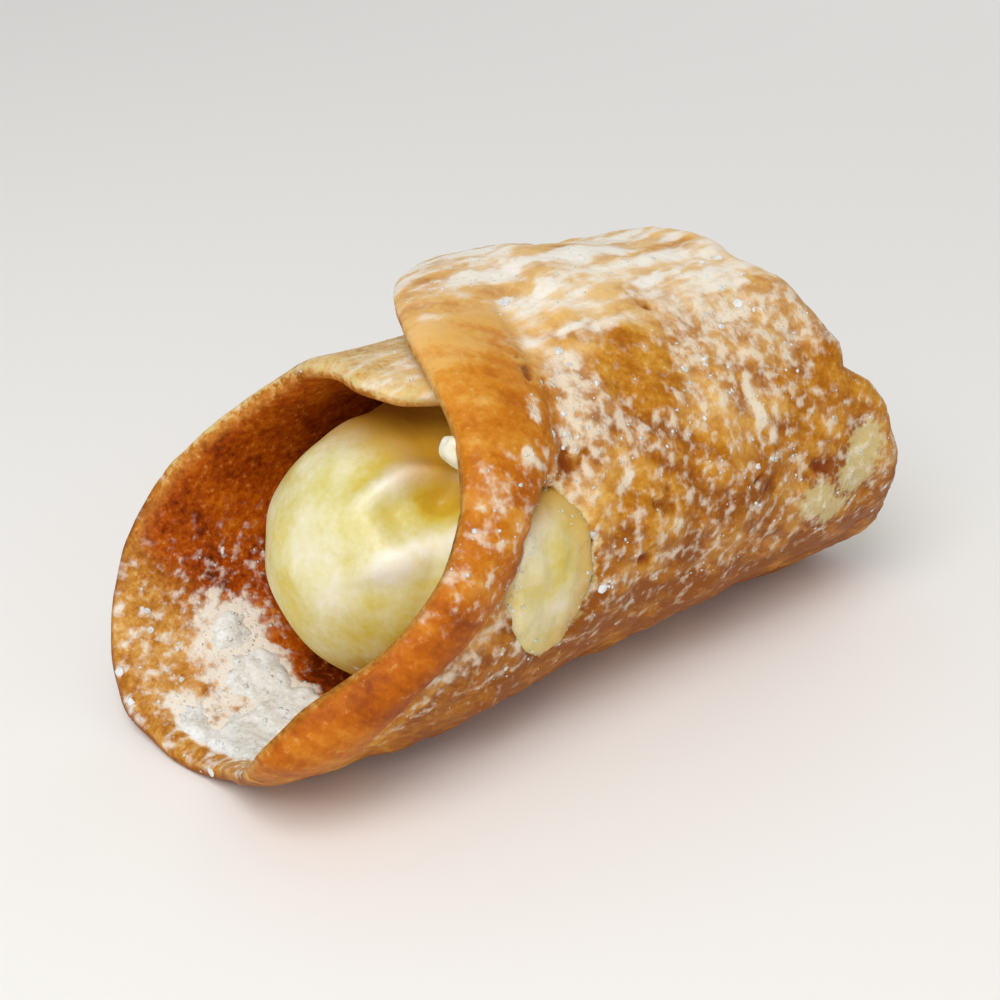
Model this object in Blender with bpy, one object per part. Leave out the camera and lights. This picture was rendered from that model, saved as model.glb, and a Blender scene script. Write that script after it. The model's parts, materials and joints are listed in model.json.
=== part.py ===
"""A cannolo: a fried pastry tube rolled from one sheet of dough, filled with pastry cream.

Metres, +Z up. The tube lies along X on the plane z = 0 with its scooped front mouth at -X,
and the origin is in the middle of the narrow flat that it rests on. Places on the tube are
given by an angle about its axis, in degrees, and by x: 0 is the top, 90 the side at +Y,
180 the bottom and 270 the side at -Y. The sheet starts under its own outer flap, at an
angle below 0, goes once round and ends past the top, at an angle above 360.
"""

import math

import bmesh
import bpy
from mathutils import Vector, noise

MM = 0.001

# The tube
TUBE_RADIUS = 21.1 * MM        # outside of the tube, from its axis
AXIS_HEIGHT = 20.75 * MM       # less than the radius: the tube rests on a flat 7 to 8 mm wide
WALL = 2.5 * MM                # thickness of the fried dough
RIM_THINNING = 2.4 * MM        # the wall thins towards its edges over this distance
RIM_SHARE = 0.42               # share of the wall's thickness left at the edge itself

# The roll
ROLL_START = -35.0             # inner end of the sheet, under the outer flap
ROLL_END = 402.0               # outer end of the sheet, just past the top
INNER_LAP_RADIUS = 18.9 * MM   # outside of the layer that the outer flap covers
OUTER_LAP_RADIUS = 21.9 * MM   # outside of the outer flap where it lies on that layer
INNER_LAP_EASE = (45.0, 100.0)   # angles over which the radius grows to the tube's
OUTER_LAP_EASE = (255.0, 305.0)  # and to the outer flap's
FLAP_LIFT = 3.8 * MM           # how far the flap's front corner stands off
FLAP_LIFT_ANGLES = (338.0, 402.0)
FLAP_LIFT_FADE = (6 * MM, 28 * MM)   # x over which the flap comes back down

# Outlines of the flat sheet: (angle, x in mm). The front one runs out into a long lower lip.
FRONT_RIM = ((-35, -2), (-22, -10), (-12, -15.8), (2, -17.6), (22, -17.1), (40, -17.4), (56, -20.6),
             (90, -31.2), (118, -38), (150, -41.2), (190, -39.4), (240, -41.4), (256, -37.5),
             (270, -28.8), (300, -18.2), (330, -14), (360, -11.5), (382, -6.6), (396, 0), (402, 6))
REAR_RIM = ((-35, 30), (20, 33), (60, 37.5), (90, 39.5), (150, 42.5), (200, 44.5), (228, 45),
            (245, 43), (270, 41), (292, 38.4), (315, 34.4), (340, 31.8), (375, 29.2), (392, 27),
            (402, 23))
RIM_WAVE = (16.0, 0.5 * MM)    # angle and height of the front rim's small waves
REAR_WAVE = (17.0, 1.3 * MM)
REAR_NOTCH_ANGLE = 302.0       # where the rear rim is torn
REAR_NOTCH_HALF_SPAN = 7.0
REAR_NOTCH_DEPTH = 1.9 * MM

# The smooth collar that puffed up along the near side of the front rim
COLLAR_SPAN = (222.0, 250.0, 345.0, 385.0)   # angles: rises, full, full, gone
COLLAR_WIDTH = 11.0 * MM
COLLAR_HEIGHT = 1.0 * MM
VALLEY_DEPTH = 0.7 * MM
VALLEY_ACROSS = (0.9, 1.1, 1.15, 1.7)        # in widths of the collar, from the rim
INSIDE_SHARE = 0.6                           # the collar's inside rises by this share of it

# The far side of the mouth leans out and the lower lip curls up
FLARE_SPAN = (5.0, 45.0, 140.0, 180.0)
FLARE = 1.3 * MM
FLARE_LENGTH = 14.0 * MM
CURL_SPAN = (175.0, 205.0, 255.0, 285.0)
CURL = 2.0 * MM
CURL_LENGTH = 11.0 * MM

# Blisters and dents of the fried surface, none on the strip that it rests on
BLISTER_HEIGHT = 1.1 * MM
BLISTER_SIZE = 7.5 * MM
SWELL_HEIGHT = 0.9 * MM
SWELL_SIZE = 15.0 * MM
BLISTER_FROM = (40.0, 75.0)    # none on the inner lap
COLLAR_BLISTERS = 0.15         # the collar is smooth: share of the blisters' height on it
REST_SPAN = (158.0, 170.0, 190.0, 202.0)

# The split in the near side, behind the collar, where the cream shows
SPLIT_ANGLE = 276.0
SPLIT_X = -8.6 * MM
SPLIT_HALF_SPAN = 27.0         # degrees
SPLIT_HALF_WIDTH = 4.8 * MM
SPLIT_SLANT = 0.03 * MM        # x gained by each degree
SPLIT_REACH = 13.0 * MM        # the dough on either side is pushed back over this distance
SPLIT_LINE_CLEAR = 5.0 * MM    # its line, carried on round the tube, keeps this from the front rim

# The cream
CREAM_GAP = 0.4 * MM           # clearance to the shell
CREAM_BALL_RADIUS = 14.5 * MM  # the round end in the front mouth
CREAM_BALL_X = -12.8 * MM
CREAM_BALL_DROP = 2.8 * MM     # it sags below the axis
CREAM_FILLS_FROM = 4.0 * MM    # the cream fills the tube from here on
CREAM_WIDE = (55.0, 105.0, 285.0, 318.0)   # angles where it can be wider than the inner lap lets it
CREAM_REAR_X = 35.5 * MM       # tip of the low dome in the rear mouth
CREAM_REAR_DOME = 8.0 * MM
CREAM_BULGE = 2.9 * MM         # how far it comes out into the split
FOLD_DEPTH = 2.2 * MM          # groove between the last two folds of the piped cream
FOLD_RIDGE = 0.8 * MM
FOLD_STARTS = (-0.62, -0.42)   # the groove opens between these, along the ball, in its radii
UPPER_RIDGE, LOWER_RIDGE = 65.0, 31.0    # degrees above level, seen along the tube
RIDGE_DIP = 11.0               # how far the upper ridge comes down again towards the rim

# Fineness of the meshes
ROWS_AROUND = 80
ROWS_TO_SPLIT = 9              # rows between the front rim and the line of the split
ROWS_ALONG = 27
CREAM_ROWS_AROUND = 64
CREAM_ROWS_ALONG = 46


def step(value, low, high):
    """Smooth step from 0 at low to 1 at high; low may be the greater."""
    t = min(max((value - low) / (high - low), 0.0), 1.0)
    return t * t * (3.0 - 2.0 * t)


def window(value, rise, full, fall, end):
    """1 between full and fall, easing to 0 at rise and end."""
    return step(value, rise, full) * (1.0 - step(value, fall, end))


def along_outline(outline, angle):
    """x of an outline at an angle, in metres: a smooth curve that never overshoots its points."""
    last = len(outline) - 1
    slopes = [(outline[i + 1][1] - outline[i][1]) / (outline[i + 1][0] - outline[i][0])
              for i in range(last)]

    def tangent(i):
        if i in (0, last):
            return slopes[min(i, last - 1)]
        before, after = slopes[i - 1], slopes[i]
        return 2 * before * after / (before + after) if before * after > 0 else 0.0

    i = max(k for k in range(last) if k == 0 or outline[k][0] <= angle)
    (a0, x0), (a1, x1) = outline[i], outline[i + 1]
    span = a1 - a0
    t = min(max((angle - a0) / span, 0.0), 1.0)
    x = ((2 * t ** 3 - 3 * t ** 2 + 1) * x0 + (t ** 3 - 2 * t ** 2 + t) * span * tangent(i)
         + (3 * t ** 2 - 2 * t ** 3) * x1 + (t ** 3 - t ** 2) * span * tangent(i + 1))
    return x * MM


def wander(angle, wave, seed):
    """A small wavering of an outline, the same each time."""
    period, height = wave
    return height * noise.noise(Vector((angle / period, seed, 0.0)))


def front_x(angle):
    return along_outline(FRONT_RIM, angle) + wander(angle, RIM_WAVE, 3.7)


def rear_x(angle):
    torn = REAR_NOTCH_DEPTH * max(0.0, 1.0 - abs(angle - REAR_NOTCH_ANGLE) / REAR_NOTCH_HALF_SPAN)
    return along_outline(REAR_RIM, angle) + wander(angle, REAR_WAVE, 8.2) - torn


def on_tube(angle, radius, x):
    """The point at an angle, a distance from the tube's axis and a place along it."""
    a = math.radians(angle)
    return Vector((x, radius * math.sin(a), AXIS_HEIGHT + radius * math.cos(a)))


def smooth_radius(angle, x):
    """Outside of the rolled sheet before it blistered."""
    radius = INNER_LAP_RADIUS + (TUBE_RADIUS - INNER_LAP_RADIUS) * step(angle, *INNER_LAP_EASE)
    radius += (OUTER_LAP_RADIUS - TUBE_RADIUS) * step(angle, *OUTER_LAP_EASE)
    radius += FLAP_LIFT * step(angle, *FLAP_LIFT_ANGLES) * (1.0 - step(x, *FLAP_LIFT_FADE))
    behind_rim = x - front_x(angle)
    flare = max(0.0, 1.0 - behind_rim / FLARE_LENGTH)
    radius += FLARE * flare ** 2 * window(angle, *FLARE_SPAN)
    curl = max(0.0, 1.0 - behind_rim / CURL_LENGTH)
    radius -= CURL * curl ** 2 * window(angle, *CURL_SPAN)
    return radius


def collar(angle, x):
    """Height of the puffed collar, and the shallow valley just behind it."""
    across = (x - front_x(angle)) / COLLAR_WIDTH
    puff = COLLAR_HEIGHT * math.sin(math.pi * min(max(across, 0.0), 1.0))
    valley = VALLEY_DEPTH * window(across, *VALLEY_ACROSS)
    return (puff - valley) * window(angle, *COLLAR_SPAN)


def blistered(angle):
    """How much of the blistering an angle has: none under the outer flap, nor where it rests."""
    return step(angle, *BLISTER_FROM) * (1.0 - window(angle, *REST_SPAN))


def relief(angle, x):
    """Height of blisters and dents on the outer side."""
    place = on_tube(angle, TUBE_RADIUS, x)
    swell = SWELL_HEIGHT * noise.noise(place / SWELL_SIZE)
    ring = angle + 360.0 * (angle > 360.0)
    cell = Vector((x, TUBE_RADIUS * math.radians(ring), 0.0)) / BLISTER_SIZE
    distance = noise.voronoi(cell)[0][0]
    blister = BLISTER_HEIGHT * (0.45 - min(distance, 0.9))
    behind_collar = step(x - front_x(angle), 0.8 * COLLAR_WIDTH, 1.4 * COLLAR_WIDTH)
    share = COLLAR_BLISTERS + (1.0 - COLLAR_BLISTERS) * behind_collar
    return blistered(angle) * (swell + blister * share)


def outer_radius(angle, x):
    return smooth_radius(angle, x) + collar(angle, x) + relief(angle, x)


def inner_radius(angle, x):
    """Inside of the sheet: it follows the outside's main form and is smoother."""
    return smooth_radius(angle, x) + INSIDE_SHARE * collar(angle, x) - WALL


def split_line(angle):
    """x of the line that the dough tore along, carried on round the tube clear of the front rim."""
    line = SPLIT_X + SPLIT_SLANT * min(angle - SPLIT_ANGLE, 60.0)
    return max(line, front_x(angle) + SPLIT_LINE_CLEAR)


def split_half_width(angle):
    t = (angle - SPLIT_ANGLE) / SPLIT_HALF_SPAN
    return SPLIT_HALF_WIDTH * max(0.0, 1.0 - t * t) ** 0.75


def split_across(angle, x):
    """Where a place lies in the split: 0 in its middle, 1 on its outline, more outside."""
    length = (angle - SPLIT_ANGLE) / SPLIT_HALF_SPAN
    return math.hypot(length, (x - split_line(angle)) / SPLIT_HALF_WIDTH)


def edge_distance(angle, x):
    """How far a place is from the nearest edge of the sheet, the split's included."""
    slope = (front_x(angle + 2) - front_x(angle - 2)) / (TUBE_RADIUS * math.radians(4))
    front = (x - front_x(angle)) / math.hypot(1.0, slope)
    rear = rear_x(angle) - x
    ends = TUBE_RADIUS * math.radians(min(angle - ROLL_START, ROLL_END - angle))
    beyond = TUBE_RADIUS * math.radians(max(0.0, abs(angle - SPLIT_ANGLE) - SPLIT_HALF_SPAN))
    beside = max(0.0, abs(x - split_line(angle)) - split_half_width(angle))
    return max(0.0, min(front, rear, ends, math.hypot(beyond, beside)))


def wall_share(angle, x):
    """Share of the wall's full thickness at a place: its edges are thinned and rounded."""
    inward = min(edge_distance(angle, x) / RIM_THINNING, 1.0)
    return math.sqrt(1.0 - (1.0 - inward) ** 2 * (1.0 - RIM_SHARE ** 2))


def row_angle(row):
    """Angle of each row across the sheet; the first and last lie close to its ends."""
    close = math.degrees(0.5 * RIM_THINNING / TUBE_RADIUS)
    if row in (0, ROWS_AROUND):
        return ROLL_START if row == 0 else ROLL_END
    first, last = ROLL_START + close, ROLL_END - close
    return first + (last - first) * (row - 1) / (ROWS_AROUND - 2)


def row_x(angle, row):
    """x of each row along the sheet: close to both rims at its ends, one on the split's line."""
    front, rear, line = front_x(angle), rear_x(angle), split_line(angle)
    close = 0.5 * RIM_THINNING
    if row in (0, ROWS_ALONG):
        return front if row == 0 else rear
    if row <= ROWS_TO_SPLIT:
        return front + close + (line - front - close) * (row - 1) / (ROWS_TO_SPLIT - 1)
    beyond = (row - ROWS_TO_SPLIT) / (ROWS_ALONG - 1 - ROWS_TO_SPLIT)
    return line + (rear - close - line) * beyond


def pushed_back(angle, x, side):
    """x of a place once the split has opened: side is -1 in front of its line and 1 behind it."""
    line, width = split_line(angle), split_half_width(angle)
    away = abs(x - line)
    if width == 0.0 or away >= SPLIT_REACH:
        return x
    return line + side * (width + away * (1.0 - width / SPLIT_REACH))


def flat_sheet():
    """The sheet of dough lying flat, cut to its outline and torn: (angle, x / MM, layer)."""
    bm = bmesh.new()
    bmesh.ops.create_grid(bm, x_segments=ROWS_AROUND, y_segments=ROWS_ALONG, size=0.5)
    for vert in bm.verts:
        around = round((vert.co.x + 0.5) * ROWS_AROUND)
        along = round((vert.co.y + 0.5) * ROWS_ALONG)
        angle = row_angle(around)
        vert.co = Vector((angle, row_x(angle, along) / MM, 0.0))

    def on_split(vert):
        angle, x = vert.co.x, vert.co.y * MM
        return abs(x - split_line(angle)) < 0.01 * MM and abs(angle - SPLIT_ANGLE) < SPLIT_HALF_SPAN

    torn = [edge for edge in bm.edges if all(on_split(vert) for vert in edge.verts)]
    bmesh.ops.split_edges(bm, edges=torn)
    for vert in bm.verts:
        middle = sum(face.calc_center_median().y for face in vert.link_faces) / len(vert.link_faces)
        side = 1 if middle * MM > split_line(vert.co.x) else -1
        vert.co.y = pushed_back(vert.co.x, vert.co.y * MM, side) / MM
    bmesh.ops.solidify(bm, geom=bm.faces[:], thickness=1.0)
    bmesh.ops.recalc_face_normals(bm, faces=bm.faces[:])
    return bm


def roll_up(bm):
    """Roll the flat sheet, its lower side outwards, and press it flat where it rests."""
    middle = (min(vert.co.z for vert in bm.verts) + max(vert.co.z for vert in bm.verts)) / 2
    for vert in bm.verts:
        angle, x = vert.co.x, vert.co.y * MM
        outside, inside = outer_radius(angle, x), inner_radius(angle, x)
        half = 0.5 * (outside - inside) * wall_share(angle, x)
        radius = (outside + inside) / 2 + (half if vert.co.z < middle else -half)
        place = on_tube(angle, radius, x)
        place.z = max(place.z, 0.0)
        vert.co = place


def material(name, colour, roughness, subsurface=0.0):
    made = bpy.data.materials.new(name)
    made.use_nodes = True
    shader = made.node_tree.nodes["Principled BSDF"]
    shader.inputs["Base Color"].default_value = (*colour, 1.0)
    shader.inputs["Roughness"].default_value = roughness
    shader.inputs["Metallic"].default_value = 0.0
    shader.inputs["Subsurface Weight"].default_value = subsurface
    return made


def fried_shell(parts):
    """The rolled sheet, split behind its collar."""
    bm = flat_sheet()
    roll_up(bm)
    mesh = bpy.data.meshes.new("shell")
    bm.to_mesh(mesh)
    bm.free()
    shell = bpy.data.objects.new("shell", mesh)
    parts.objects.link(shell)
    mesh.materials.append(material("fried_pastry", (0.50, 0.20, 0.045), 0.55))
    mesh.shade_smooth()
    mesh.set_sharp_from_angle(angle=math.radians(50))


def cream_profile(t):
    """x and radius along the cream, t from 0 at the front tip to 1 at the rear tip."""
    front_share, rear_share = 0.36, 0.86
    if t < front_share:
        a = t / front_share * math.pi / 2
        return CREAM_BALL_X - CREAM_BALL_RADIUS * math.cos(a), math.sin(a)
    rear_start = CREAM_REAR_X - CREAM_REAR_DOME
    if t < rear_share:
        along = (t - front_share) / (rear_share - front_share)
        return CREAM_BALL_X + (rear_start - CREAM_BALL_X) * along, 1.0
    a = (t - rear_share) / (1.0 - rear_share) * math.pi / 2
    return rear_start + CREAM_REAR_DOME * math.sin(a), math.cos(a) ** 0.8


def filling_radius(angle):
    """Radius of the cream where it fills the tube, clear of the innermost layer all round."""
    wide = TUBE_RADIUS - WALL - CREAM_GAP
    narrow = INNER_LAP_RADIUS - WALL - CREAM_GAP
    turn = angle % 360.0
    return narrow + (wide - narrow) * window(turn, *CREAM_WIDE)


def fold(place):
    """Height of the last folds of piped cream on the ball, at a place relative to its centre.

    Two soft ridges run back to the near side of the mouth. The groove between them deepens
    towards it, steep under the upper ridge and easy above the lower one.
    """
    x, y, z = place / CREAM_BALL_RADIUS
    rise = math.degrees(math.atan2(z, -y))
    upper_ridge = UPPER_RIDGE - RIDGE_DIP * step(x, -0.28, 0.18)
    opened = step(x, *FOLD_STARTS) * (0.5 + 0.5 * step(x, -0.45, 0.05))
    groove = opened * step(rise, LOWER_RIDGE + 3, 48) * (1.0 - step(rise, upper_ridge - 12, upper_ridge))
    upper = window(x, -0.75, -0.4, 0.1, 0.4) * math.exp(-((rise - upper_ridge) / 6) ** 2)
    lower = step(x, -0.97, -0.55) * math.exp(-((rise - LOWER_RIDGE) / 9) ** 2)
    return FOLD_RIDGE * (upper + lower) - FOLD_DEPTH * groove


def cream_filling(parts):
    """The cream: a round end in the front mouth, a body that fills the tube, a low rear dome."""
    bm = bmesh.new()
    bmesh.ops.create_uvsphere(bm, u_segments=CREAM_ROWS_AROUND, v_segments=CREAM_ROWS_ALONG, radius=1.0)
    for vert in bm.verts:
        t = math.acos(min(max(vert.co.z, -1.0), 1.0)) / math.pi
        angle = math.degrees(math.atan2(vert.co.y, vert.co.x)) % 360.0
        x, swell = cream_profile(t)
        fills = step(x, CREAM_BALL_X, CREAM_FILLS_FROM)
        radius = CREAM_BALL_RADIUS + (filling_radius(angle) - CREAM_BALL_RADIUS) * fills
        bulge = CREAM_BULGE * step(split_across(angle, x), 1.08, 0.6)
        place = on_tube(angle, radius * swell + bulge, x)
        place.z -= CREAM_BALL_DROP * (1.0 - fills)
        from_ball = place - Vector((CREAM_BALL_X, 0.0, AXIS_HEIGHT - CREAM_BALL_DROP))
        place += from_ball.normalized() * fold(from_ball) * (1.0 - step(x, CREAM_BALL_X, -6 * MM))
        vert.co = place
    mesh = bpy.data.meshes.new("cream")
    bm.to_mesh(mesh)
    bm.free()
    cream = bpy.data.objects.new("cream", mesh)
    parts.objects.link(cream)
    mesh.materials.append(material("pastry_cream", (0.78, 0.72, 0.36), 0.42, 0.15))
    mesh.shade_smooth()


def main():
    for obj in list(bpy.data.objects):
        bpy.data.objects.remove(obj)
    parts = bpy.data.collections.new("cannolo")
    bpy.context.scene.collection.children.link(parts)
    fried_shell(parts)
    cream_filling(parts)


main()
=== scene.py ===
# %% [markdown]
# # A filled cannolo
#
# A cannolo starts as one thin sheet of wheat dough. It is rolled round a metal tube so that its
# ends overlap, fried in deep oil until it blisters and browns, slid off the tube, filled with
# pastry cream from both ends and dusted with powdered sugar through a sieve. This lesson follows
# the same order: a flat sheet is cut, rolled up and blistered, the cream is piped, and the sugar is
# scattered last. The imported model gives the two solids, `shell` and `cream`, and every finer piece
# made here takes the place of one of them or lies on it.

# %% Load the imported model
import json
import math
from functools import lru_cache

import bmesh
import bpy
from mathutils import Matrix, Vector, noise

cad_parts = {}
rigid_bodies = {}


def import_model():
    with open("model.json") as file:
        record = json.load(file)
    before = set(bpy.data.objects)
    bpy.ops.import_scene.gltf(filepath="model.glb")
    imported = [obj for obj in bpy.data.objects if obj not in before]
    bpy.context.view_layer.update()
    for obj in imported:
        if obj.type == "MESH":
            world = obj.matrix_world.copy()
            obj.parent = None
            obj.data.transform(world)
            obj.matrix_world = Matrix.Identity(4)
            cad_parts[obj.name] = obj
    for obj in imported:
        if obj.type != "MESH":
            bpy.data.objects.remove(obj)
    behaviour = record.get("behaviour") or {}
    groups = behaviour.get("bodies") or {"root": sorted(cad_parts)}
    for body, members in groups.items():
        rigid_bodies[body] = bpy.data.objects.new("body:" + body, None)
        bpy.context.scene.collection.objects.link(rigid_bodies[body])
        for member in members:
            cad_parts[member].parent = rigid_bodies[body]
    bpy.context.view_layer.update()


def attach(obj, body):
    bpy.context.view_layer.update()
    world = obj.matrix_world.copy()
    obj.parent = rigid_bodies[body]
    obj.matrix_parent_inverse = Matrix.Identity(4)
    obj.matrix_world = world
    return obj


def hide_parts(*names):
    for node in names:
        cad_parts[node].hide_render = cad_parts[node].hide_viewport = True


for leftover in list(bpy.data.objects):
    bpy.data.objects.remove(leftover)
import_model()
MM = 0.001
scene = bpy.context.scene


# %% [markdown]
# ## The camera and the light
#
# The photograph looks down on the pastry by 30 degrees, towards its open end, from about a quarter
# of a metre. The camera stands there. Its lens is longer than the photograph's, so that the pastry
# fills the frame, and the perspective stays the same because the camera does not move. The main
# light is a soft box high on the left. A weak one low on the left reaches into the mouth, and one
# behind gives the rear end its form. The room all round is pale.

# %% Camera
CAMERA_AZIMUTH = -38.0         # degrees round from square to the tube, towards its open end
CAMERA_ELEVATION = 30.0
CAMERA_DISTANCE = 231 * MM     # to the middle of the tube
LENS = 76.0
TUBE_CENTRE = Vector((0.0, 0.0, 20.75 * MM))
AIM = Vector((0.6 * MM, 0.0, 18.9 * MM))


def placed(name, data):
    """A new object in the scene that holds this camera, light or mesh."""
    made = bpy.data.objects.new(name, data)
    scene.collection.objects.link(made)
    return made


azimuth, elevation = math.radians(CAMERA_AZIMUTH), math.radians(CAMERA_ELEVATION)
backwards = Vector((math.sin(azimuth) * math.cos(elevation),
                    -math.cos(azimuth) * math.cos(elevation), math.sin(elevation)))
camera = placed("camera", bpy.data.cameras.new("camera"))
camera.data.lens = LENS
camera.data.clip_start = 5 * MM
camera.location = TUBE_CENTRE + backwards * CAMERA_DISTANCE
camera.rotation_euler = (AIM - camera.location).to_track_quat("-Z", "Y").to_euler()
scene.camera = camera
scene.view_settings.view_transform = "Standard"

# %% Lights
SOFT_BOXES = (                 # name, place and size in metres, watts, tint
    ("key", (-0.24, -0.16, 0.42), 0.28, 1.5, (1.0, 0.985, 0.96)),
    ("fill", (-0.42, -0.30, 0.14), 0.35, 0.30, (1.0, 0.99, 0.98)),
    ("back", (0.46, 0.24, 0.16), 0.35, 0.35, (1.0, 0.99, 0.98)),
)
ROOM_BRIGHTNESS = 0.42

for name, place, size, power, tint in SOFT_BOXES:
    light = bpy.data.lights.new(name, "AREA")
    light.size, light.energy, light.color = size, power, tint
    lamp = placed(name, light)
    lamp.location = place
    lamp.rotation_euler = (TUBE_CENTRE - lamp.location).to_track_quat("-Z", "Y").to_euler()

world = bpy.data.worlds.new("pale room")
scene.world = world
world.use_nodes = True
world.node_tree.nodes["Background"].inputs["Color"].default_value = (1.0, 1.0, 1.0, 1.0)
world.node_tree.nodes["Background"].inputs["Strength"].default_value = ROOM_BRIGHTNESS


# %% [markdown]
# ## Colours and nodes
#
# Colours are written as the sRGB hex values that a colour picker shows, and one function turns
# them into the linear values that Blender's nodes want. Another adds a node to a tree, with its
# settings and its inputs, for materials and for Geometry Nodes alike. What is known of each vertex
# of a mesh, such as how sugared it is, is kept on it as attributes, which both kinds of tree read.

# %% Helpers for nodes
def colour(code):
    """An sRGB hex colour as linear red, green, blue and alpha."""
    values = [int(code[i:i + 2], 16) / 255 for i in (1, 3, 5)]
    return (*[v / 12.92 if v <= 0.04045 else ((v + 0.055) / 1.055) ** 2.4 for v in values], 1.0)


def connect(tree, node, inputs):
    """Give a node's inputs, in order or by name, their values, sockets or nodes."""
    sockets = [socket for socket in node.inputs if not socket.is_unavailable]
    for key, value in inputs.items() if isinstance(inputs, dict) else enumerate(inputs):
        socket = sockets[key] if isinstance(key, int) else next(s for s in sockets if s.name == key)
        if isinstance(value, bpy.types.Node):
            value = next(s for s in value.outputs if not s.is_unavailable)
        if isinstance(value, bpy.types.NodeSocket):
            tree.links.new(value, socket)
        else:
            socket.default_value = value


def add(tree, kind, inputs=(), **settings):
    """Add a node. Settings are its properties, or the stops of its colour ramp."""
    node = tree.nodes.new(kind)
    for name, value in settings.items():
        if name == "stops":
            ramp = node.color_ramp.elements
            for position, code in value:
                ramp.new(position).color = colour(code)
            ramp.remove(ramp[-1])
            ramp.remove(ramp[0])
        else:
            setattr(node, name, value)
    connect(tree, node, inputs)
    return node


def new_material(name):
    """An empty material: its tree and its shader, linked to the output."""
    made = bpy.data.materials.new(name)
    made.use_nodes = True
    return made, made.node_tree, made.node_tree.nodes["Principled BSDF"]


# %% Helpers for meshes and for shares from 0 to 1
def mesh_of(bm, name):
    mesh = bpy.data.meshes.new(name)
    bm.to_mesh(mesh)
    bm.free()
    return mesh


def tell(mesh, told):
    """Keep what is told of each vertex, a row for each, as attributes of the mesh."""
    for name in told[0]:
        values = [row[name] for row in told]
        mesh.attributes.new(name, "FLOAT", "POINT").data.foreach_set("value", values)


def triangles(mesh):
    return sum(len(face.vertices) - 2 for face in mesh.polygons)


def step(value, low, high):
    """Smooth step from 0 at low to 1 at high; low may be the greater."""
    t = min(max((value - low) / (high - low), 0.0), 1.0)
    return t * t * (3.0 - 2.0 * t)


def window(value, rise, full, fall, end):
    """1 between full and fall, easing to 0 at rise and end."""
    return step(value, rise, full) * (1.0 - step(value, fall, end))


# %% [markdown]
# ## The sheet of dough
#
# Places on the pastry are given as on the real sheet: by the angle round the tube, in degrees from
# the top, and by x, along it. The rims are the sheet's cut edges, which the frying bent and drew
# in, so each is a smooth curve through the few places where it turns. The same curves shape the
# solid, and here they are followed with rows about half a millimetre apart.

# %% Sizes of the rolled sheet; spans and eases are in degrees round the tube
TUBE_RADIUS = 21.1 * MM
AXIS_HEIGHT = 20.75 * MM
WALL = 2.5 * MM
RIM_THINNING = 2.4 * MM        # from this far in, the wall thins towards an edge
RIM_SHARE = 0.42               # of the wall that is left at the edge

ROLL_START = -35.0
ROLL_END = 402.0
INNER_LAP_RADIUS = 18.9 * MM
OUTER_LAP_RADIUS = 21.9 * MM
INNER_LAP_EASE = (45.0, 100.0)
OUTER_LAP_EASE = (255.0, 305.0)
FLAP_LIFT = 3.8 * MM
FLAP_LIFT_ANGLES = (338.0, 402.0)
FLAP_LIFT_FADE = (6 * MM, 28 * MM)

FRONT_RIM = (                  # angle, x in mm
    (-35, -2), (-22, -10), (-12, -15.8), (2, -17.6), (22, -17.1), (40, -17.4), (56, -20.6),
    (90, -31.2), (118, -38), (150, -41.2), (190, -39.4), (240, -41.4), (256, -37.5),
    (270, -28.8), (300, -18.2), (330, -14), (360, -11.5), (382, -6.6), (396, 0), (402, 6))
REAR_RIM = (
    (-35, 30), (20, 33), (60, 37.5), (90, 39.5), (150, 42.5), (200, 44.5), (228, 45), (245, 43),
    (270, 41), (292, 38.4), (315, 34.4), (340, 31.8), (375, 29.2), (392, 27), (402, 23))
RIM_WAVE = (16.0, 0.5 * MM)        # degrees, height
REAR_WAVE = (17.0, 1.3 * MM)
REAR_CRUMBLE = (3.4, 1.0 * MM)     # low on the near side the rear edge broke off in flakes
CRUMBLE_SPAN = (208.0, 224.0, 250.0, 266.0)
CRUMBLE_ELSEWHERE = 0.2
REAR_NOTCH_ANGLE = 302.0
REAR_NOTCH_HALF_SPAN = 7.0
REAR_NOTCH_DEPTH = 1.9 * MM

COLLAR_SPAN = (222.0, 250.0, 345.0, 385.0)
COLLAR_WIDTH = 11.0 * MM
COLLAR_HEIGHT = 1.0 * MM
BODY_FROM = (0.8, 1.4)             # the blistered body starts between these, in collar widths
VALLEY_DEPTH = 0.7 * MM
VALLEY_ACROSS = (0.9, 1.1, 1.15, 1.7)
INSIDE_SHARE = 0.6                 # of the collar's height, on the inner side
FLARE_SPAN = (5.0, 45.0, 140.0, 180.0)
FLARE = 1.3 * MM
FLARE_LENGTH = 14.0 * MM
CURL_SPAN = (175.0, 205.0, 255.0, 285.0)
CURL = 2.0 * MM
CURL_LENGTH = 11.0 * MM

BLISTER_HEIGHT = 1.1 * MM
BLISTER_SIZE = 7.5 * MM
BLISTER_REACH = 0.9                # of its size: beyond, the skin is flat
SWELL_HEIGHT = 0.9 * MM
SWELL_SIZE = 15.0 * MM
BLISTER_FROM = (40.0, 75.0)
COLLAR_BLISTERS = 0.15
REST_SPAN = (158.0, 170.0, 190.0, 202.0)
PITS = (                           # burst blisters: angle, x in mm, radius in mm
    (305.0, -4.6, 2.0), (257.0, -10.5, 1.4), (333.0, -4.0, 1.2), (285.0, 5.3, 1.2),
    (270.0, 2.8, 1.1), (277.0, 20.7, 1.5), (340.0, 14.4, 0.9), (275.0, 28.3, 1.5),
    (70.0, 12.0, 1.5), (98.0, -4.0, 1.1), (118.0, 24.0, 1.6), (84.0, 30.0, 1.0),
)
PIT_DEPTH = 0.45 * MM
PIT_SIDES = (0.15, 1.05)           # in its radii: from its floor to the skin round it
PIT_RAGGED = 1.1

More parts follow.
